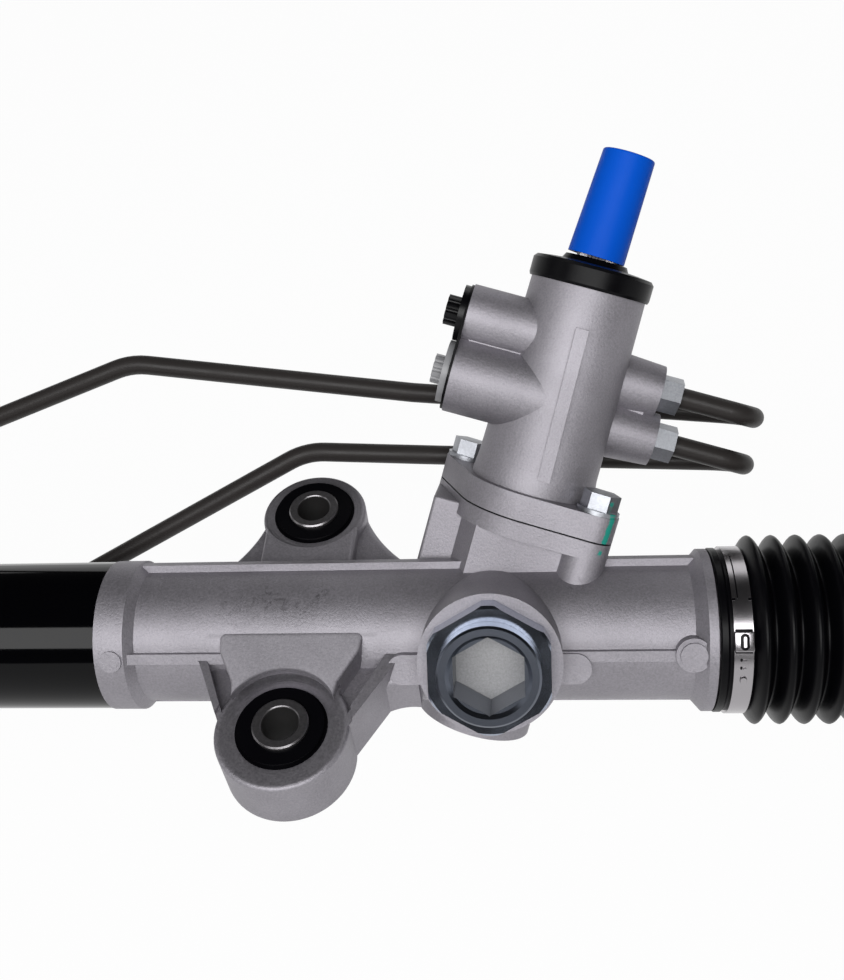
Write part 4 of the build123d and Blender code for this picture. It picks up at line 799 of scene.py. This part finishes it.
def thread(tree, ball, side):
    """Rings of the thread on a tie-rod end, which hangs a little below the rack's line."""
    s = settings()
    run = Vector((side * cos(ROD_DROOP), 0, -sin(ROD_DROOP)))
    line = tree.add("GeometryNodeMeshLine")
    line.inputs["Count"].default_value = int(THREAD_LENGTH / s.thread_pitch)
    line.inputs["Start Location"].default_value = RACK + X * ball + run * THREAD_START
    line.inputs["Offset"].default_value = run * s.thread_pitch
    circle = tree.add("GeometryNodeCurvePrimitiveCircle")
    circle.inputs["Resolution"].default_value = 48
    circle.inputs["Radius"].default_value = THREAD_R
    profile = tree.add("GeometryNodeCurvePrimitiveCircle")
    profile.inputs["Resolution"].default_value = 6
    profile.inputs["Radius"].default_value = s.thread_pitch * 0.3
    sweep = tree.add("GeometryNodeCurveToMesh")
    tree.put(circle.outputs[0], sweep.inputs["Curve"])
    tree.put(profile.outputs[0], sweep.inputs["Profile Curve"])
    turn = tree.add("GeometryNodeTransform")
    tree.put(sweep.outputs[0], turn.inputs["Geometry"])
    turn.inputs["Rotation"].default_value = (0, side * (pi / 2 + ROD_DROOP), 0)
    copies = tree.add("GeometryNodeInstanceOnPoints")
    tree.put(line.outputs[0], copies.inputs["Points"])
    tree.put(turn.outputs[0], copies.inputs["Instance"])
    return dressed(tree, copies.outputs[0], slot_material("steel"))


class RACK_OT_threads(bpy.types.Operator):
    """Add thread ridges to both tie-rod ends"""

    bl_idname = "rack.threads"
    bl_label = "Make threads"

    def execute(self, context):
        for name, (face, side) in BOOTS.items():
            grown("Thread_" + name, lambda t: thread(t, BALLS[name], side), name + "_tie_rod")
        return {"FINISHED"}


def soft_light(name, place, target, size, power):
    """Rectangular lamp that shines from a place at a target."""
    data = bpy.data.lights.new(name, "AREA")
    data.shape = "RECTANGLE"
    data.size, data.size_y = size
    data.energy = power
    lamp = bpy.data.objects.new(name, data)
    lamp.location = place
    lamp.rotation_euler = (Vector(target) - lamp.location).to_track_quat("-Z", "Y").to_euler()
    lamp.visible_camera = False
    bpy.context.collection.objects.link(lamp)


def seen(tree):
    """1 for rays of the camera, of gloss and of transmission."""
    rays = tree.add("ShaderNodeLightPath").outputs
    gloss = tree.math("MAXIMUM", rays["Is Glossy Ray"], rays["Is Transmission Ray"])
    return tree.math("MAXIMUM", rays["Is Camera Ray"], gloss)


def backdrop_material():
    """Pale surface that is seen as nearly plain white and keeps a faint shadow."""
    material, tree, principled, _ = shader("Backdrop")
    principled.inputs["Base Color"].default_value = (0.55, 0.55, 0.56, 1)
    principled.inputs["Roughness"].default_value = 0.9
    white = tree.add("ShaderNodeEmission")
    white.inputs["Color"].default_value = (1, 1, 1, 1)
    blend = tree.add("ShaderNodeMixShader")
    tree.put(tree.math("MULTIPLY", seen(tree), 0.97), blend.inputs[0])
    tree.put(principled.outputs[0], blend.inputs[1])
    tree.put(white.outputs[0], blend.inputs[2])
    tree.put(blend.outputs[0], material.node_tree.nodes["Material Output"].inputs["Surface"])
    return material


def stage_plane(name, reach, height, material):
    """Level square of the stage."""
    mesh = bpy.data.meshes.new(name)
    corners = [(x * reach, y * reach, height) for x, y in ((-1, -1), (1, -1), (1, 1), (-1, 1))]
    mesh.from_pydata(corners, [], [(0, 1, 2, 3)])
    mesh.materials.append(material)
    plane = bpy.data.objects.new(name, mesh)
    bpy.context.collection.objects.link(plane)
    return plane


class RACK_OT_stage(bpy.types.Operator):
    """Make the floor, lights, world and camera"""

    bl_idname = "rack.stage"
    bl_label = "Make stage"

    def execute(self, context):
        stage_plane("Floor", FLOOR_REACH, FLOOR_LEVEL, backdrop_material())
        cloth = plain("Dark cloth", (0.03, 0.03, 0.03), 0.9)
        ceiling = stage_plane("Dark_ceiling", CEILING_REACH, CEILING_LEVEL, cloth)
        ceiling.visible_camera = False
        ceiling.visible_diffuse = False
        for lamp in LAMPS:
            soft_light(*lamp)
        world = bpy.data.worlds.new("White room")
        world.use_nodes = True
        tree = Tree(world.node_tree)
        background = world.node_tree.nodes["Background"]
        tree.put(mixed(tree, seen(tree), (0.11, 0.11, 0.115), (1, 1, 1)), background.inputs["Color"])
        context.scene.world = world
        data = bpy.data.cameras.new("Camera")
        data.lens = CAMERA_LENS
        data.sensor_width = SENSOR_WIDTH
        data.clip_start = 0.01
        camera = bpy.data.objects.new("Camera", data)
        turn = Matrix(CAMERA_AXES).transposed().to_4x4()
        camera.matrix_world = Matrix.Translation(CAMERA_PLACE) @ turn
        bpy.context.collection.objects.link(camera)
        context.scene.camera = camera
        context.scene.view_settings.view_transform = "Standard"
        return {"FINISHED"}


class RACK_PT_panel(bpy.types.Panel):
    """Sizes, finishes and steps of the steering rack"""

    bl_idname = "RACK_PT_panel"
    bl_label = "Steering rack"
    bl_space_type = "VIEW_3D"
    bl_region_type = "UI"
    bl_category = "Steering rack"

    def draw(self, context):
        for key in RackSettings.__annotations__:
            self.layout.prop(settings(), key)
        for step in STEPS:
            self.layout.operator(step)


CLASSES = (RackSettings, RACK_OT_castings, RACK_OT_metals, RACK_OT_plastics, RACK_OT_boots, RACK_OT_clamps,
           RACK_OT_threads, RACK_OT_stage, RACK_PT_panel)
STEPS = ("rack.castings", "rack.metals", "rack.plastics", "rack.boots", "rack.clamps", "rack.threads",
         "rack.stage")


def register():
    """Add the classes and the scene's settings."""
    for cls in CLASSES:
        bpy.utils.register_class(cls)
    bpy.types.Scene.steering_rack = bpy.props.PointerProperty(type=RackSettings)


def unregister():
    """Take the settings and the classes away again."""
    del bpy.types.Scene.steering_rack
    for cls in reversed(CLASSES):
        bpy.utils.unregister_class(cls)


def main():
    """Take each step in order."""
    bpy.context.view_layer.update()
    register()
    for step in STEPS:
        area, name = step.split(".")
        getattr(getattr(bpy.ops, area), name)()


if __name__ == "__main__":
    main()
